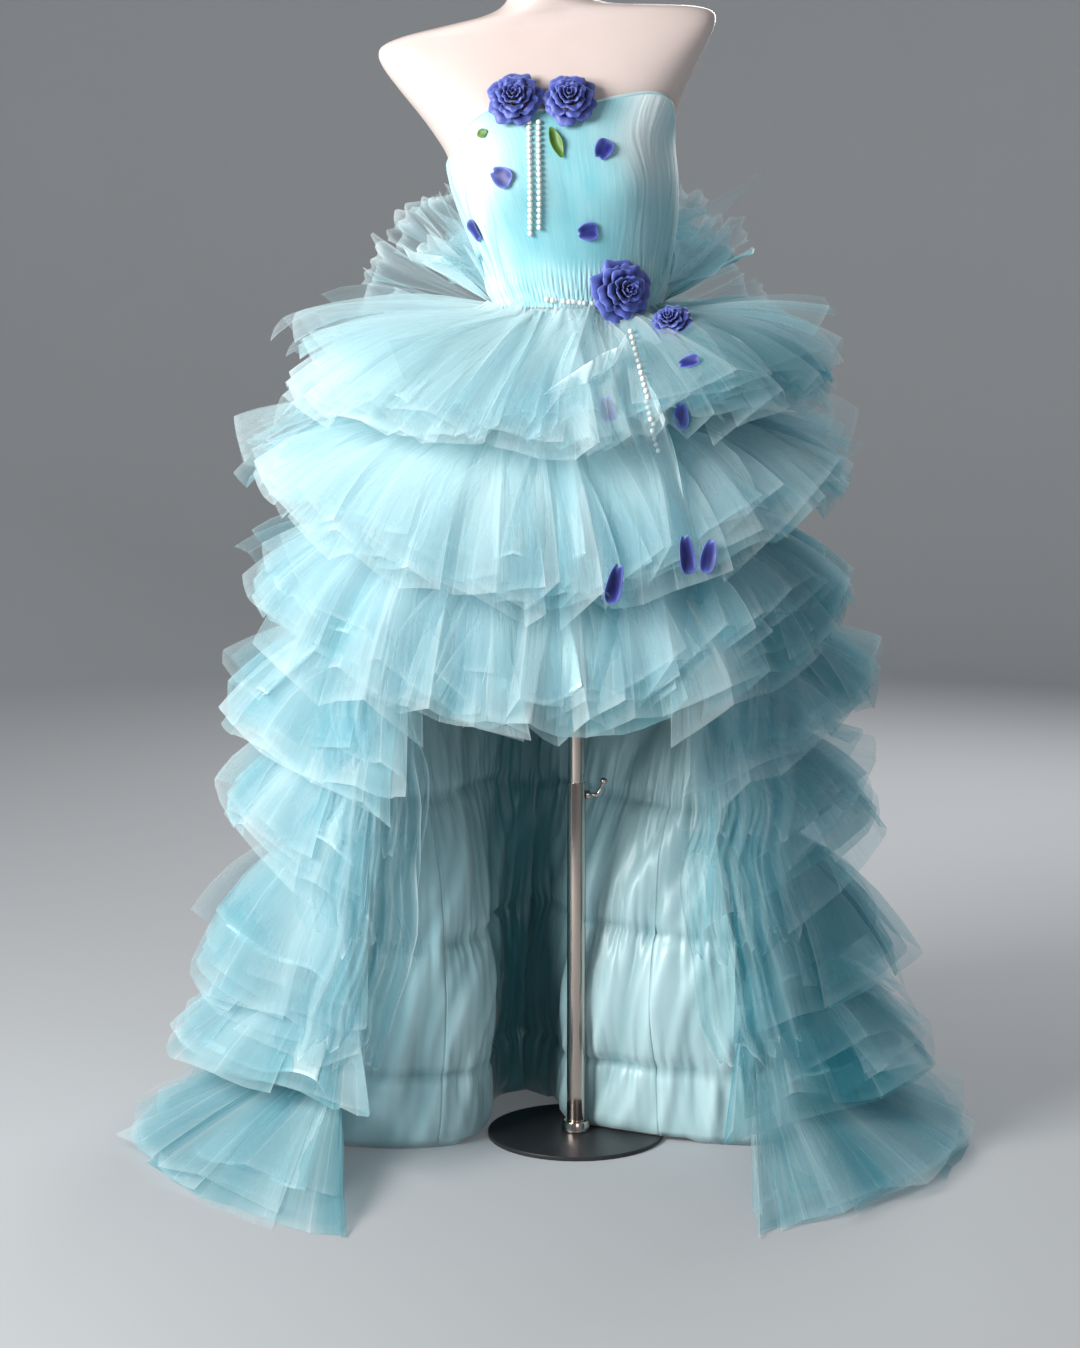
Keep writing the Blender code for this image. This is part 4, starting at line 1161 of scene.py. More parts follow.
def strip_points(name, layer, draw, first, last, columns, overlap, gather):
    """One cut strip of a tier between two places, with its cover and its painted shade."""
    v = layer["end"] * STRIP_ROWS[:, None]
    tier = TIERS[name]
    count = max(2, round((last - first) * tier["waves"] * layer["pleats"]))
    place, out, crease = pleats(draw, count, columns, overlap)
    even = np.linspace(0, 1, columns)
    hem_place = mix(first, last, place)[None, :]
    seam_place = mix(first, last, mix(even, place, 0.25))[None, :]
    if tier["start"][0] != 0:
        hem_place, seam_place = np.clip(hem_place, 0, 1), np.clip(seam_place, 0, 1)
    fold = mix(out[None, :], wave(hem_place, tier["waves"]), layer["wave"])
    corner = draw.uniform(-1, 1) * layer["corner"]
    drop = layer["drop"] + corner * (2 * even[None, :] - 1)
    fine = ripple(2 * np.pi * 9 * count * even + draw.uniform(0, 6), 0.3)[None, :]
    gathers = gather * fine * np.exp(-v * 3.2) * smooth(v / 0.03)
    sag = 0.006 * ripple(6 * even[None, :] * count + 5 * v, draw.uniform(0, 6)) * smooth(v)
    lap = 0.003 * (1 - even[None, :])
    points = tier_point(name, seam_place + 0 * v, hem_place + 0 * v, v + 0 * fold, fold + 0 * v,
                        drop + 0 * v, layer["out"] * smooth(v / 0.3) + gathers + sag + lap,
                        0.0, layer["straight"])
    hem_edge = smooth((v / layer["end"] - 0.978) / 0.008)
    bunch = np.exp(-v * 5.0)
    ends = np.exp(-np.minimum(even, 1 - even)[None, :] * columns / 1.2)
    cover = (layer["cover"] * (1 - layer["thin"] * smooth((v - 0.45) / 0.5)) + 0.35 * bunch
             + 0.22 * crease[None, :] * smooth(v / 0.3) + 0.30 * hem_edge + 0.18 * ends)
    # Painted shade in the folds' hollows and near the seam; painted highlights on fold lines and
    # hem
    shade = 0.62 - 0.62 * fold + 0.10 * bunch - 0.25 * crease[None, :] - 0.3 * hem_edge
    return points, cover + 0 * points[..., 0], np.clip(shade, 0, 1) + 0 * points[..., 0]


def fan_points(name, layer, draw):
    """All the fans of one layer of a tier, as an array of fans by rows by columns by 3.

    A fan is a gathered scrap of net, narrow at the seam and wide at the hem. Fold lines cross it
    from seam to hem, the cloth is nearly straight between them, and it zigzags in and out over
    them. Its place, width, length, slant, flare, belly and the ends of its fold lines are drawn
    at random.
    """
    tier = TIERS[name]
    ring = tier["start"][0] == 0
    share = 1.0 if ring else (180.0 - tier["start"][0]) / 180.0
    fans = max(4, round(layer["fans"] * share))
    lines = layer["lines"]

    def drawn(low, high):
        return draw.uniform(low, high, (fans, 1, 1))

    half = 0.5 * layer["width"] / fans * drawn(0.7, 1.4)
    centre = (np.arange(fans) + 0.5 + draw.uniform(-0.45, 0.45, fans)).reshape(-1, 1, 1) / fans
    slant = layer["slant"] * half * drawn(-1, 1)
    flare = layer["flare"] * drawn(-0.35, 1.0)
    tilt = layer["corner"] * drawn(-1, 1)
    raised = drawn(*layer["raised"])
    length = 1 + drawn(*layer["length"])
    if name == "tier_8":
        length = np.minimum(length, 1.0)
    belly = layer["belly"] * drawn(-0.4, 1.0)

    at = np.append((np.arange(lines - 1)[:, None] + FOLD_STEPS).ravel(), lines - 1.0)
    low = np.minimum(at.astype(int), lines - 2)
    part = at - low
    part = mix(part, smooth(part), 0.5)
    gaps = draw.uniform(0.35, 1.65, (fans, lines - 1))
    across = np.insert(np.cumsum(gaps, axis=1), 0, 0.0, axis=1)
    across = 2 * across / across[:, -1:] - 1
    odd = (np.arange(lines)[None, :] + draw.integers(0, 2, (fans, 1))) % 2
    crests, valleys = (draw.uniform(*span, (fans, lines)) for span in ((0.35, 1.0), (0, 0.35)))
    zigzag = odd * crests + (1 - odd) * valleys
    ends = draw.uniform(-1, 1, (fans, lines)) * layer["jag"]

    def run(values):
        return (values[:, low] * (1 - part) + values[:, low + 1] * part)[:, None, :]

    side, fold, end = run(across), run(zigzag), run(ends)
    v = FAN_ROWS[None, :, None]
    curl = layer["curl"] * drawn(-1, 1)
    hem_place = centre + slant + half * side
    seam_place = centre + layer["gathered"] * half * side
    if not ring:
        beyond = 0.012 if name == "tier_8" else 0.05
        hem_place = np.clip(hem_place, -beyond, 1 + beyond)
        seam_place = np.clip(seam_place, -0.02, 1.02)
    waved = mix(fold, wave(hem_place, tier["waves"]), layer["wave"])
    billow = belly * 4 * v * (1 - v) + 0.3 * belly * np.sin(2 * np.pi * v + 3 * side)
    out = (layer["out"] + flare * v**2 + curl * v**2 * side + billow
           + 0.004 * (fold - 0.5) * smooth(v / 0.15))
    zero = 0 * v + 0 * side + 0 * half
    points = tier_point(name, seam_place + zero, hem_place + zero, v * length + zero, waved + zero,
                        layer["drop"] + tilt * side + end + zero, out + zero, raised + zero,
                        layer["straight"], layer.get("swing"))
    if name == "tier_1":
        head = drawn(0.2, 1.0) * (0.6 + 0.4 * np.sin(9 * side))
        points[..., 2] += 0.016 * head * np.exp(-v / 0.05)
    yaw = np.radians(layer.get("yaw", 0.0)) * drawn(-1, 1)
    pivot = points[:, :1].mean(axis=2, keepdims=True)
    x, y, z = np.moveaxis(points - pivot, -1, 0)
    points = pivot + stack(x * np.cos(yaw) - y * np.sin(yaw), x * np.sin(yaw) + y * np.cos(yaw), z)
    near = np.minimum(at - np.floor(at), np.ceil(at) - at)[None, None, :]
    crease = np.exp(-((near / 0.04) ** 2)) * smooth(v / 0.2)
    hem_edge = smooth((v - 0.984) / 0.004)
    bunch = np.exp(-v * 5.5)
    thick = drawn(-0.08, 0.08)
    cover = layer["cover"] + thick + 0.40 * bunch + 0.09 * crease + 0.05 * hem_edge
    cover = cover - 0.10 * smooth((v - 0.45) / 0.5)
    # Painted shade in fold hollows and near the seam, painted highlights on fold lines and hem;
    # thick is each fan's own random tone
    shade = 0.64 - 0.80 * waved + 0.10 * bunch - 0.26 * crease - 0.10 * hem_edge + 2.8 * thick
    return points, cover + zero, np.clip(shade, 0, 1) + zero


# How each layer of net is cut and hung: the continuous one under the tiers, the fans over it,
# what the back ruffle's fans do otherwise, and how deep each layer's colour is, a painted shade
# that deepens the layers lying under others
UNDER = dict(out=-0.010, drop=0.000, corner=0.006, cover=0.46, thin=0.25, wave=0.60, pleats=1.1,
             strips=5, straight=0.5, end=0.84)
FANS = {
    "inner": dict(fans=18, lines=7, width=2.2, slant=0.30, flare=0.004, drop=0.004,
                  length=(-0.08, 0.03), corner=0.012, jag=0.006, gathered=0.50, out=-0.004,
                  wave=0.30, cover=0.10, curl=0.006, belly=0.006, raised=(-0.15, 0.35),
                  straight=0.5),
    "outer": dict(fans=22, lines=5, width=2.0, slant=0.45, flare=0.010, drop=0.004,
                  length=(-0.14, 0.12), corner=0.018, jag=0.012, gathered=0.40, out=0.000,
                  wave=0.12, cover=0.00, curl=0.014, belly=0.012, raised=(-0.05, 0.70),
                  straight=0.5),
    "wisp": dict(fans=20, lines=4, width=1.7, slant=1.0, flare=0.018, drop=0.000,
                 length=(-0.22, 0.13), corner=0.024, jag=0.014, gathered=0.34, out=0.003,
                 wave=0.05, cover=-0.08, curl=0.020, belly=0.022, raised=(0.10, 1.10),
                 straight=0.55),
}
RUFFLE = {
    "inner": dict(fans=14, lines=7, width=3.0, flare=0.020, length=(-0.20, 0.05), curl=0.015,
                  raised=(-0.2, 2.0), slant=0.6, belly=0.020, cover=0.08, yaw=12.0, swing=0.080),
    "outer": dict(fans=14, lines=6, width=3.0, flare=0.020, length=(-0.25, 0.05), curl=0.020,
                  raised=(-0.4, 2.4), slant=0.8, belly=0.030, yaw=20.0, swing=0.100),
    "wisp": dict(fans=12, lines=5, width=2.6, flare=0.020, length=(-0.30, 0.00), curl=0.020,
                 raised=(-0.3, 2.0), slant=1.0, belly=0.030, yaw=25.0, swing=0.110),
}
DEPTHS = {"under": 0.18, "inner": 0.08, "outer": 0.0, "wisp": -0.10}


def add_net(name, grids, covers, shades, finish, rests_on, node=None):
    """A piece of net with how closed it is and its painted shade."""
    mesh = grid_mesh(name, grids, marks={"cover": covers, "shade": shades})
    piece = new_piece(name, mesh, finish, "tulle", node)
    declare_sheet(grids, rests_on)


def painted_side_light(points):
    """Painted light and shade: how much deeper the net's colour is at its place.

    It is paler high up and towards -X, the key light's side, and deeper towards +X and low down.
    """
    x, _, z = np.moveaxis(points, -1, 0)
    pale = smooth((0.16 - x) / 0.25) * smooth((z - 0.70) / 0.30)
    return 0.16 * smooth((x + 0.02) / 0.40) + 0.08 * smooth((0.45 - z) / 0.40) - 0.36 * pale


def add_tier(name, settings, finishes):
    """A tier's net: a dense continuous layer underneath and three layers of fans over it."""
    number = list(TIERS).index(name)
    ring = TIERS[name]["start"][0] == 0
    ruffle = name == "back_ruffle"
    rests_on = "bodice_cloth_back_left" if ruffle else "lining_cloth_front"
    strips = 2 if ruffle else UNDER["strips"]
    draw = np.random.default_rng(settings.seed + 17 * number)
    lap = 0.10 / strips
    made = []
    for i in range(strips):
        first, last = i / strips - lap, (i + 1) / strips + lap
        if not ring:
            first, last = max(first, 0.02), min(last, 0.98)
        made.append(strip_points(name, UNDER, draw, first, last, 600 // strips,
                                 settings.pleat_overlap, settings.gather))
    layers = {"under": made}
    for level, (key, layer) in enumerate(FANS.items()):
        draw = np.random.default_rng(settings.seed + 17 * number + 131 * (level + 1))
        if ruffle:
            layer = {**layer, **RUFFLE[key]}
        layers[key] = list(zip(*fan_points(name, layer, draw)))
    for key, parts in layers.items():
        grids, covers, shades = zip(*parts)
        # Painted light and shade by the side of the key light, on every layer
        shades = [np.clip(shade + painted_side_light(grid), -0.2, 1.2)
                  for grid, shade in zip(grids, shades)]
        add_net(f"{name}_{key}", grids, covers, shades, finishes[key], rests_on,
                name if key == "under" else None)


# Trims
def petal_grid(turn, spread, radius, rim, height, curl, lean_out, rows=13, columns=17):
    """One rose petal: a cupped sheet that stands on a circle and rolls its lip outwards.

    Its half-width closes as the root of a sine towards the top, its radius opens from radius to
    rim, and over its last part it curls out and down. Sines crumple it towards its lip.
    """
    a = np.linspace(-1, 1, columns)[None, :]
    b = np.linspace(0, 1, rows)[:, None]
    wide = spread * (0.55 + 0.45 * np.sin(np.pi * (0.15 + 0.62 * b)))
    lip = smooth((b - 0.58) / 0.42)
    tip = 1 - 0.20 * a * a * b + 0.05 * bump(a, 0.15 * math.sin(5 * turn), 0.3) * b**4
    angle = turn + wide * a
    r = mix(radius, rim, b**0.8) + curl * lip * (1 - 0.5 * a * a) - 0.12 * rim * a * a * b
    z = height * np.sin(np.pi / 2 * b * tip) - 0.9 * curl * lip**2 + lean_out * b
    r = r * (1 + (0.05 * np.sin(5 * a + turn * 3) + 0.035 * np.sin(9 * a - turn * 5)) * b**1.5)
    z = z + (0.035 * np.sin(6 * a + turn * 7) + 0.020 * np.sin(11 * a + turn)) * b**2
    return stack(r * np.cos(angle), r * np.sin(angle), z), b * np.ones_like(a)


def rose_grids(radius, turn):
    """Whorls of petals round a rolled bud, each whorl taller, tighter and turned from the last."""
    whorls = table(
        "count spread root rim height curl lift",
        (5, 0.84, 0.30, 0.90, 0.36, 0.17, 0.00), (5, 0.78, 0.28, 0.74, 0.58, 0.15, 0.03),
        (4, 0.92, 0.24, 0.54, 0.74, 0.13, 0.05), (4, 0.90, 0.16, 0.37, 0.86, 0.09, 0.07),
        (3, 1.10, 0.10, 0.22, 0.93, 0.055, 0.08), (2, 1.50, 0.05, 0.10, 0.97, 0.02, 0.09),
    )
    grids, rims = [], []
    for w in range(len(whorls["count"])):
        count, spread, root, rim, height, curl, lift = (whorls[c][w] for c in whorls)
        for i in range(int(count)):
            angle = math.radians(turn) + 2 * math.pi * (i + 0.45 * w) / count
            grid, edge = petal_grid(angle, spread, root, rim * (1 + 0.04 * math.sin(3 * i + w)),
                                    height, curl, lift)
            grids.append(grid * radius)
            # The rim mark paints a highlight on each petal's lip; the dark colour below it is
            # painted shade
            rims.append(edge**5)
    return grids, rims


def add_roses(settings):
    """Four cloth roses where the solids' roses sit."""
    finish = petal_finish("rose_cloth", settings.rose, settings.rose_rim, 260.0)
    for name, on, x, height, radius, out, rise, turn, upward in ROSES:
        grids, rims = rose_grids(radius, turn)
        base = tree_of(frame["nodes"][on])
        place = (front_frame([base], x, height, out) @ Matrix.Translation((0, rise, 0))
                 @ Matrix.Rotation(math.radians(-upward), 4, "X"))
        grids = [carried(g, place) for g in grids]
        mesh = grid_mesh(f"{name}_petals", grids, marks={"rim": rims})
        new_piece(f"{name}_petals", mesh, finish, "rose", name, 0.0006)


def scrap_grid(length, width, heart, cup):
    """A loose petal or leaf: its breadth a sine to a power, dished, with a curled edge."""
    u = np.linspace(-0.5, 0.5, 15)[None, :]
    v = np.linspace(0, 1, 19)[:, None]
    low, blunt = (0.72, 0.55) if heart else (1.0, 0.8)
    shape = np.sin(np.pi * (0.05 + 0.90 * v**low)) ** blunt
    side = u * shape
    middle = v - 0.5
    notch = 0.10 * heart * (1 - np.abs(2 * u)) ** 2 * v**6
    dish = cup * length * (4 * side * side + 2.4 * middle * middle)
    rim = np.clip(np.maximum(np.abs(2 * u) ** 4 + 0 * v, np.abs(2 * v - 1) ** 6 + 0 * u), 0, 1)
    wavy = 0.02 * length * np.sin(9 * v) * (2 * u)
    return stack(width * side, length * (middle - notch), dish + wavy), rim


def add_scraps(settings):
    """Loose petals and leaves on the bodice and the tiers, on whatever cloth lies foremost."""
    petal = bpy.data.materials["rose_cloth"]
    leaf = petal_finish("leaf_cloth", settings.leaf, scaled(settings.leaf, 2.0), 300.0)
    made = bpy.data.objects
    for name, on, x, height, length, width, turn in SCRAPS:
        is_leaf, on_tier = name.startswith("leaf"), on.startswith("tier")
        cloths = [tree_of(made["bodice_cloth_front"])]
        if on_tier:
            cloths = [tree_of(made[f"{on}_{key}"]) for key in DEPTHS]
            if name != "petal_tier_1_b":
                cloths.append(tree_of(made["front_corner"]))
        grid, rim = scrap_grid(length, width, not is_leaf, 0.10)
        facing = 0.55 if on_tier else 0.0
        place = front_frame(cloths, x, height, 0.0016 + 0.006 * facing, facing)
        place = place @ Matrix.Rotation(math.radians(turn), 4, "Z")
        points = carried(grid, place)
        mesh = grid_mesh(f"{name}_cloth", [points], marks={"rim": [rim]})
        finish, slot = (leaf, "leaf") if is_leaf else (petal, "rose")
        piece = new_piece(f"{name}_cloth", mesh, finish, slot, name, 0.0005)
        declare_sheet([points], on)


def pearl_line(knots, size):
    """Centres a pearl apart along a line through knots of x and height."""
    knots = np.array(knots, float)
    run = np.insert(np.cumsum(np.linalg.norm(np.diff(knots, axis=0), axis=1)), 0, 0.0)
    at = np.arange(0.0, run[-1], size * 1.02)
    return np.interp(at, run, knots[:, 0]), np.interp(at, run, knots[:, 1])


def add_pearls(settings):
    """Strands of pearls: two down the bodice, one along the waist and one from the waist rose."""
    finish = pearl_finish(settings.pearl)
    size = settings.pearl_size
    made = bpy.data.objects
    bodice = [tree_of(made["bodice_cloth_front"]), tree_of(made["lining_cloth_front"])]
    skirt = bodice + [tree_of(made[f"{tier}_{key}"]) for tier in ("tier_1", "tier_2")
                      for key in DEPTHS]
    strands = [
        ("pearls_bodice_left", bodice, [(-0.062, 1.347), (-0.060, 1.206)]),
        ("pearls_bodice_right", bodice, [(-0.050, 1.347), (-0.049, 1.214)]),
        ("pearls_waist", bodice, [(-0.040, 1.128), (0.022, 1.122)]),
        ("pearls_skirt", skirt, [(0.066, 1.085), (0.078, 1.030), (0.100, 0.938)]),
    ]
    theta = np.linspace(0, np.pi, 9)[:, None]
    phi = np.linspace(0, 2 * np.pi, 12, endpoint=False)[None, :]
    ball = stack(np.sin(theta) * np.cos(phi), np.sin(theta) * np.sin(phi), np.cos(theta))
    ball = ball * size / 2
    for name, cloths, knots in strands:
        centres = [np.array(front_frame(cloths, x, z, size / 2).translation)
                   for x, z in zip(*pearl_line(knots, size))]
        mesh = merged(grid_mesh(name, [ball + c for c in centres], closed=True))
        new_piece(name, mesh, finish, "satin")


def add_flap(finish):
    """A loose corner of net that lies over the first tiers, with parts of its edge turned back.

    It follows the foremost cloth behind it, smoothed, and fades out towards its left and foot.
    """
    made = bpy.data.objects
    under = [tree_of(made[f"{tier}_{key}"]) for tier in ("tier_1", "tier_2")
             for key in ("under", "inner", "outer")]
    under += [tree_of(made[name]) for name in ("bodice_cloth_front", "lining_cloth_front")]
    right = [(-0.006, 1.128), (0.038, 1.103), (0.058, 1.085), (0.092, 1.016), (0.128, 0.905),
             (0.150, 0.800)]
    left = [(-0.030, 1.125), (-0.075, 1.095), (-0.110, 1.050), (-0.100, 0.985), (-0.040, 0.900),
            (0.040, 0.810)]
    rows, columns, smoothings = 40, 40, 10
    at = np.linspace(0, 1, rows)
    u = np.linspace(0, 1, columns)[None, :, None]
    flat = mix(on_line(left, at)[:, None], on_line(right, at)[:, None], u)
    depth = np.array([depths(under, row) for row in flat])
    for _ in range(smoothings):
        padded = np.pad(depth, 1, mode="edge")
        around = (padded[:-2, 1:-1] + padded[2:, 1:-1] + padded[1:-1, :-2] + padded[1:-1, 2:]) / 4
        depth = np.minimum(depth, around)
    across, down = u[..., 0], at[:, None]
    lifted = 0.004 + 0.012 * bump(across, 0.80, 0.2) * smooth(down / 0.3)
    relief = 0.005 * ripple(9 * across + 3 * down, 0.8) * smooth(down / 0.2)
    points = stack(flat[..., 0], depth - lifted - relief, flat[..., 1])
    edge = np.exp(-(1 - across) * columns / 1.2)
    fades = smooth(across / 0.55) * smooth((1 - down) / 0.30)
    cover = -0.34 + 0.22 * fades + 0.50 * edge * smooth((1 - down) / 0.2)
    # Painted highlight along the flap's free edge
    shade = np.clip(0.10 - 0.2 * edge, 0, 1) + 0 * down
    grids, covers, shades = [points], [cover + 0 * down], [shade]
    folds = [
        ([(0.060, 1.078), (0.047, 1.052), (0.024, 1.030), (-0.050, 1.010)], 0.030),
        ([(-0.004, 1.084), (-0.012, 1.064), (-0.022, 1.044)], 0.014),
        ([(0.082, 1.030), (0.108, 0.960), (0.130, 0.880)], 0.012),
    ]
    s, t = np.linspace(0, 1, 40)[:, None], np.linspace(0, 1, 9)[None, :]
    for knots, width in folds:
        line = np.stack([softened(column, 4) for column in on_line(knots, s[:, 0]).T], axis=1)
        front = depths(under, line)
        front = np.minimum(front, softened(front, 4))
        tall = width * np.sin(np.pi * s) ** 0.8 * (1 + 0.2 * np.sin(11 * s))
        grids.append(stack(line[:, :1] + 0.25 * tall * t,
                           front[:, None] - 0.012 - 0.45 * tall * np.sin(0.6 * np.pi * t),
                           line[:, 1:] + tall * t))
        # Painted highlights along both edges of each turned-back fold
        rim = np.exp(-(1 - t) * 8.0) + np.exp(-t * 8.0)
        covers.append(0.10 + 0.40 * rim + 0 * s)
        shades.append(np.clip(0.05 - rim, 0, 1) + 0 * s)
    add_net("front_corner", grids, covers, shades, finish, "tier_1_outer")


def add_falls(settings, finish):
    """Loose lengths of net that hang down the train's two front edges, over the satin.

    Each length runs down a line of points between the edge of the satin and the tiers' hems. It
    rolls round that edge on a hyperbola and is rippled across in folds that grow downwards.
    """
    draw = np.random.default_rng(settings.seed + 905)
    sides = {
        "train_fall_right": (1.0, [(0.08, 0.205, 0.25), (0.19, 0.156, 0.242), (0.37, 0.142, 0.221),
                                   (0.57, 0.152, 0.20), (0.74, 0.17, 0.17)]),
        "train_fall_left": (-1.0, [(0.08, 0.30, 0.325), (0.19, 0.236, 0.316), (0.31, 0.205, 0.30),
                                   (0.48, 0.199, 0.280), (0.57, 0.205, 0.265),
                                   (0.74, 0.22, 0.23)]),
    }
    v, u = np.linspace(0, 1, 44)[:, None], np.linspace(0, 1, 56)[None, :]
    for name, (side, line) in sides.items():
        heights, inner, edge = np.array(line).T
        grids, covers, shades = [], [], []
        for top, foot, push in ((0.71, 0.44, 0.0), (0.60, 0.30, 0.006), (0.45, 0.16, 0.012)):
            folds, turn = draw.uniform(3.5, 5.0), draw.uniform(0, 6)
            crease = ripple(2 * np.pi * folds * u + 2.5 * v + turn, turn)
            fine = ripple(2 * np.pi * 4.3 * folds * u + 4.0 * v, 2 * turn)
            hem = foot + 0.022 * ripple(2 * np.pi * 0.8 * folds * u, turn) + 0.05 * (u - 0.4)
            z = mix(top, hem, v)
            x = np.interp(z, heights, inner) - 0.012 * ripple(4 * v, turn) + (0.10 + 0.07 * v) * u
            gap = x - np.interp(z, heights, edge)
            y = -0.176 - push + 0.55 * np.sqrt(gap**2 + 0.0006)
            y = y - (0.3 + 0.7 * v) * (0.011 * crease + 0.0025 * fine)
            grids.append(stack(side * x, y, z))
            ends = smooth(v / 0.25) * smooth((1 - u) / 0.40)
            edges = 0.22 * np.exp(-(1 - v) / 0.012) + 0.22 * np.exp(-u / 0.014)
            covers.append(-0.34 + (0.25 + 0.10 * crease) * ends + edges * ends)
            # Painted shade in fold hollows, painted light by the key light's side, painted
            # highlights on edges
            shades.append(np.clip(0.38 - 0.30 * crease - 0.12 * fine + painted_side_light(grids[-1])
                                  - edges, -0.2, 1.2))
        add_net(name, grids, covers, shades, finish, "tier_4_outer")


def add_spray(settings, finish):
    """Broad facets of net that stand out on both sides of the bodice, in front of the ruffle.

    Each facet is a sector of a disc: its angle runs with u and its radius with v, and one soft
    crease and a rolled rim bend it out of its plane.
    """
    draw = np.random.default_rng(settings.seed + 411)
    v, u = np.linspace(0, 1, 14)[:, None], np.linspace(0, 1, 18)[None, :]
    facets = 9
    for name, side, low, high, reach in (("ruffle_spray_left", -1, 4, 62, 0.175),
                                         ("ruffle_spray_right", 1, 8, 74, 0.150)):
        grids, covers, shades = [], [], []
        for i in range(facets):
            aim = math.radians(mix(low, high, i / (facets - 1)) + draw.uniform(-5, 5))
            wide = math.radians(draw.uniform(15, 26))
            crease = ripple(5.0 * u + draw.uniform(0, 6), i)
            tip = reach * draw.uniform(0.72, 1.0) * (1 + 0.07 * ripple(6 * u, i))
            angle = aim + (u - 0.5) * wide * (0.6 + 0.4 * v)
            radius = 0.02 + tip * v
            x = side * (0.098 + radius * np.cos(angle))
            bend = 0.012 * crease + draw.uniform(-0.01, 0.02)
            y = 0.030 + 0.007 * i + 0.25 * radius + v * bend
            z = 1.100 + 0.004 * i + radius * np.sin(angle)
            grids.append(stack(x, y, z))
            rim = np.exp(-(1 - v) / 0.05) + np.exp(-u / 0.05) + np.exp(-(1 - u) / 0.05)
            covers.append(-0.27 + 0.08 * crease + 0.26 * np.clip(rim, 0, 1) * smooth(v / 0.3))
            # Painted shade and highlight across the crease, painted highlights on the rim; the
            # drawn term is random tone
            shade = 0.22 - 0.30 * crease - 0.30 * rim + draw.uniform(-0.15, 0.15)
            shades.append(np.clip(shade, 0, 1) + 0 * v)
        add_net(name, grids, covers, shades, finish, "bodice_cloth_back_left")


# Stage
def add_light(name, place, target, size, power, tint):
    """A square soft box at a place, turned to a target."""
    light = bpy.data.lights.new(name, "AREA")
    light.size = size
    light.energy = power
    light.color = tint
    lamp = bpy.data.objects.new(name, light)
    lamp.location = place
    lamp.rotation_euler = (Vector(target) - Vector(place)).to_track_quat("-Z", "Y").to_euler()
    bpy.context.scene.collection.objects.link(lamp)
    lamp.visible_camera = False


def add_stage(settings):
    """A round sweep of studio paper, three soft lights, an even ambient light and the camera.

    The sweep is flat to 4.4 m from the pole, bends up on a quarter circle and rises all round.
    """
    flat, rise, top = 4.4, 1.6, 8.0
    bend = np.linspace(0, np.pi / 2, 24)
    radius = np.concatenate([[0.001, 1.0, 2.5], flat + rise * np.sin(bend), [flat + rise]])
    height = np.concatenate([[0.0, 0.0, 0.0], rise - rise * np.cos(bend), [top]])
    points = turned_grid(list(zip(radius, height)), 96)
    mesh = grid_mesh("studio_sweep", [points[:, ::-1]], closed=True)
    mesh.materials.append(floor_finish(settings.paper, settings.glow))
    mesh.shade_smooth()
    sweep = bpy.data.objects.new("studio_sweep", mesh)
    bpy.context.scene.collection.objects.link(sweep)
    sweep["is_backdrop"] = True

    middle = (0.0, 0.0, 0.75)
    add_light("key_light", (-2.3, -1.7, 1.9), middle, 1.4, settings.key, (1.0, 0.99, 0.97))
    add_light("fill_light", (0.9, -4.2, 1.6), middle, 1.6, settings.fill, (0.92, 0.96, 1.0))
    add_light("back_light", (1.2, 3.0, 2.4), (0, 0, 0.8), 1.8, 0.45 * settings.key, (1, 1, 1))

    world = bpy.data.worlds.new("studio")
    bpy.context.scene.world = world
    world.use_nodes = True
    sky = world.node_tree.nodes["Background"]
    sky.inputs[0].default_value = colour(SKY)
    sky.inputs[1].default_value = settings.ambient

    camera = bpy.data.cameras.new("camera")
    camera.lens = 73.0
    camera.sensor_width = 36.0
    viewer = bpy.data.objects.new("camera", camera)
    viewer.location = (-0.03, -3.6, 1.15)
    aim = Vector((-0.049, 0.0, 0.633)) - viewer.location
    viewer.rotation_euler = aim.to_track_quat("-Z", "Y").to_euler()
    bpy.context.scene.collection.objects.link(viewer)
    bpy.context.scene.camera = viewer
    bpy.context.scene.cycles.transparent_max_bounces = 40
    bpy.context.scene.view_settings.view_transform = "Standard"


# Operators
class DRESS_OT_stage(Operator):
    """Adds the floor, the lights and the camera"""

    bl_idname = "dress.stage"
    bl_label = "Stage"

    def execute(self, context):
        add_stage(context.scene.dress_stage)
        return {"FINISHED"}


class DRESS_OT_form(Operator):
    """Adds the dress form"""

    bl_idname = "dress.form"
    bl_label = "Dress form"

    def execute(self, context):
        add_form(context.scene.dress_stand)
        return {"FINISHED"}


class DRESS_OT_stand(Operator):
    """Adds the base, the poles and the clamp"""

    bl_idname = "dress.stand"
    bl_label = "Stand"

    def execute(self, context):
        add_stand(context.scene.dress_stand)
        return {"FINISHED"}


class DRESS_OT_bodice(Operator):
    """Adds the gathered bodice"""

    bl_idname = "dress.bodice"
    bl_label = "Bodice"

    def execute(self, context):
        add_bodice(context.scene.dress_satin)
        return {"FINISHED"}


class DRESS_OT_lining(Operator):
    """Adds the satin underskirt"""

    bl_idname = "dress.lining"
    bl_label = "Lining"

    def execute(self, context):
        add_lining(context.scene.dress_satin)
        return {"FINISHED"}


class DRESS_OT_tiers(Operator):
    """Adds the tulle tiers, the back ruffle and its spray, the loose corner and the falls"""

    bl_idname = "dress.tiers"
    bl_label = "Tulle tiers"

    def execute(self, context):
        settings = context.scene.dress_tulle
        finishes = {key: tulle_finish(f"tulle_{key}", settings, deep)
                    for key, deep in DEPTHS.items()}
        for name in TIERS:
            add_tier(name, settings, finishes)
        add_flap(finishes["wisp"])
        add_falls(settings, finishes["inner"])
        add_spray(settings, finishes["wisp"])
        return {"FINISHED"}


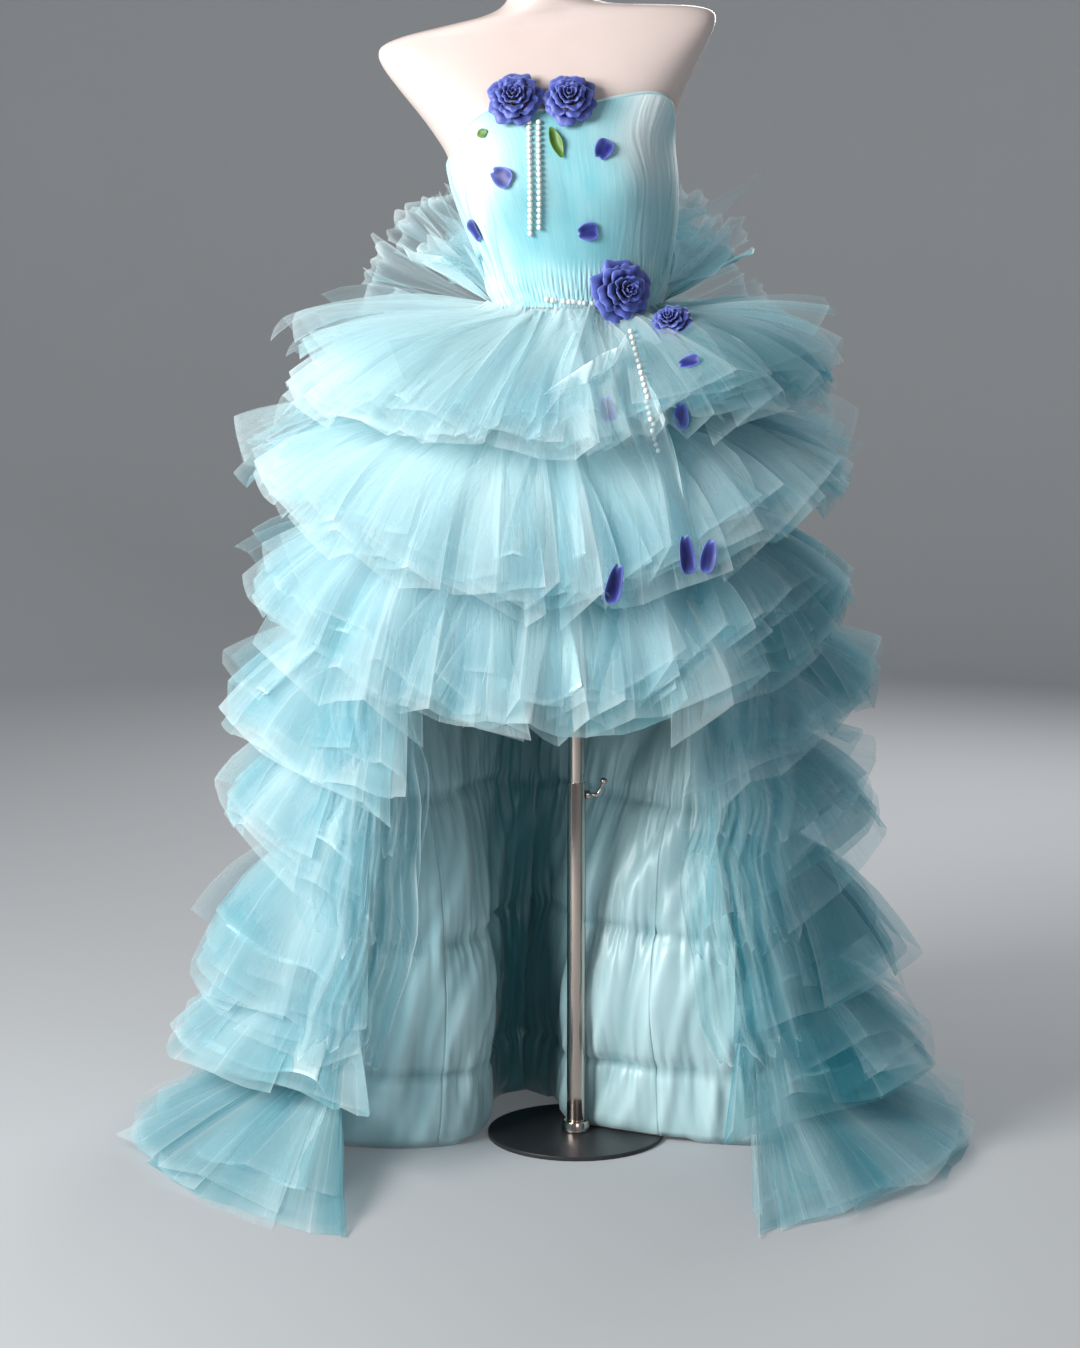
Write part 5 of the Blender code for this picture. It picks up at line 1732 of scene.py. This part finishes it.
class DRESS_OT_flowers(Operator):
    """Adds the roses, the loose petals and the leaves"""

    bl_idname = "dress.flowers"
    bl_label = "Roses and petals"

    def execute(self, context):
        add_roses(context.scene.dress_trim)
        add_scraps(context.scene.dress_trim)
        return {"FINISHED"}


class DRESS_OT_pearls(Operator):
    """Adds the strands of pearls"""

    bl_idname = "dress.pearls"
    bl_label = "Pearls"

    def execute(self, context):
        add_pearls(context.scene.dress_trim)
        return {"FINISHED"}


OPERATORS = (DRESS_OT_stage, DRESS_OT_form, DRESS_OT_stand, DRESS_OT_bodice, DRESS_OT_lining,
             DRESS_OT_tiers, DRESS_OT_flowers, DRESS_OT_pearls)
SETTINGS = {
    "dress_tulle": TulleSettings, "dress_satin": SatinSettings, "dress_trim": TrimSettings,
    "dress_stand": StandSettings, "dress_stage": StageSettings,
}


class DRESS_PT_panel(Panel):
    """The dress's settings and pieces"""

    bl_label = "Tiered tulle dress"
    bl_idname = "DRESS_PT_panel"
    bl_space_type = "VIEW_3D"
    bl_region_type = "UI"
    bl_category = "Dress"

    def draw(self, context):
        for key, group in SETTINGS.items():
            box = self.layout.box()
            box.label(text=group.__doc__)
            for name in group.__annotations__:
                box.prop(getattr(context.scene, key), name)
        for operator in OPERATORS:
            self.layout.operator(operator.bl_idname)


def register():
    for group in SETTINGS.values():
        bpy.utils.register_class(group)
    for key, group in SETTINGS.items():
        setattr(bpy.types.Scene, key, PointerProperty(type=group))
    for kind in (*OPERATORS, DRESS_PT_panel):
        bpy.utils.register_class(kind)


def unregister():
    for kind in (DRESS_PT_panel, *reversed(OPERATORS)):
        bpy.utils.unregister_class(kind)
    for key in SETTINGS:
        delattr(bpy.types.Scene, key)
    for group in SETTINGS.values():
        bpy.utils.unregister_class(group)


def main():
    register()
    bpy.ops.dress.stage()
    bpy.ops.dress.form()
    bpy.ops.dress.stand()
    bpy.ops.dress.bodice()
    bpy.ops.dress.lining()
    bpy.ops.dress.tiers()
    bpy.ops.dress.flowers()
    bpy.ops.dress.pearls()
    sizes = {"cad_box": CAD_BOX, "visual_box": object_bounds()}
    {k: [list(corner) for corner in box] for k, box in sizes.items()}


if __name__ == "__main__":
    main()
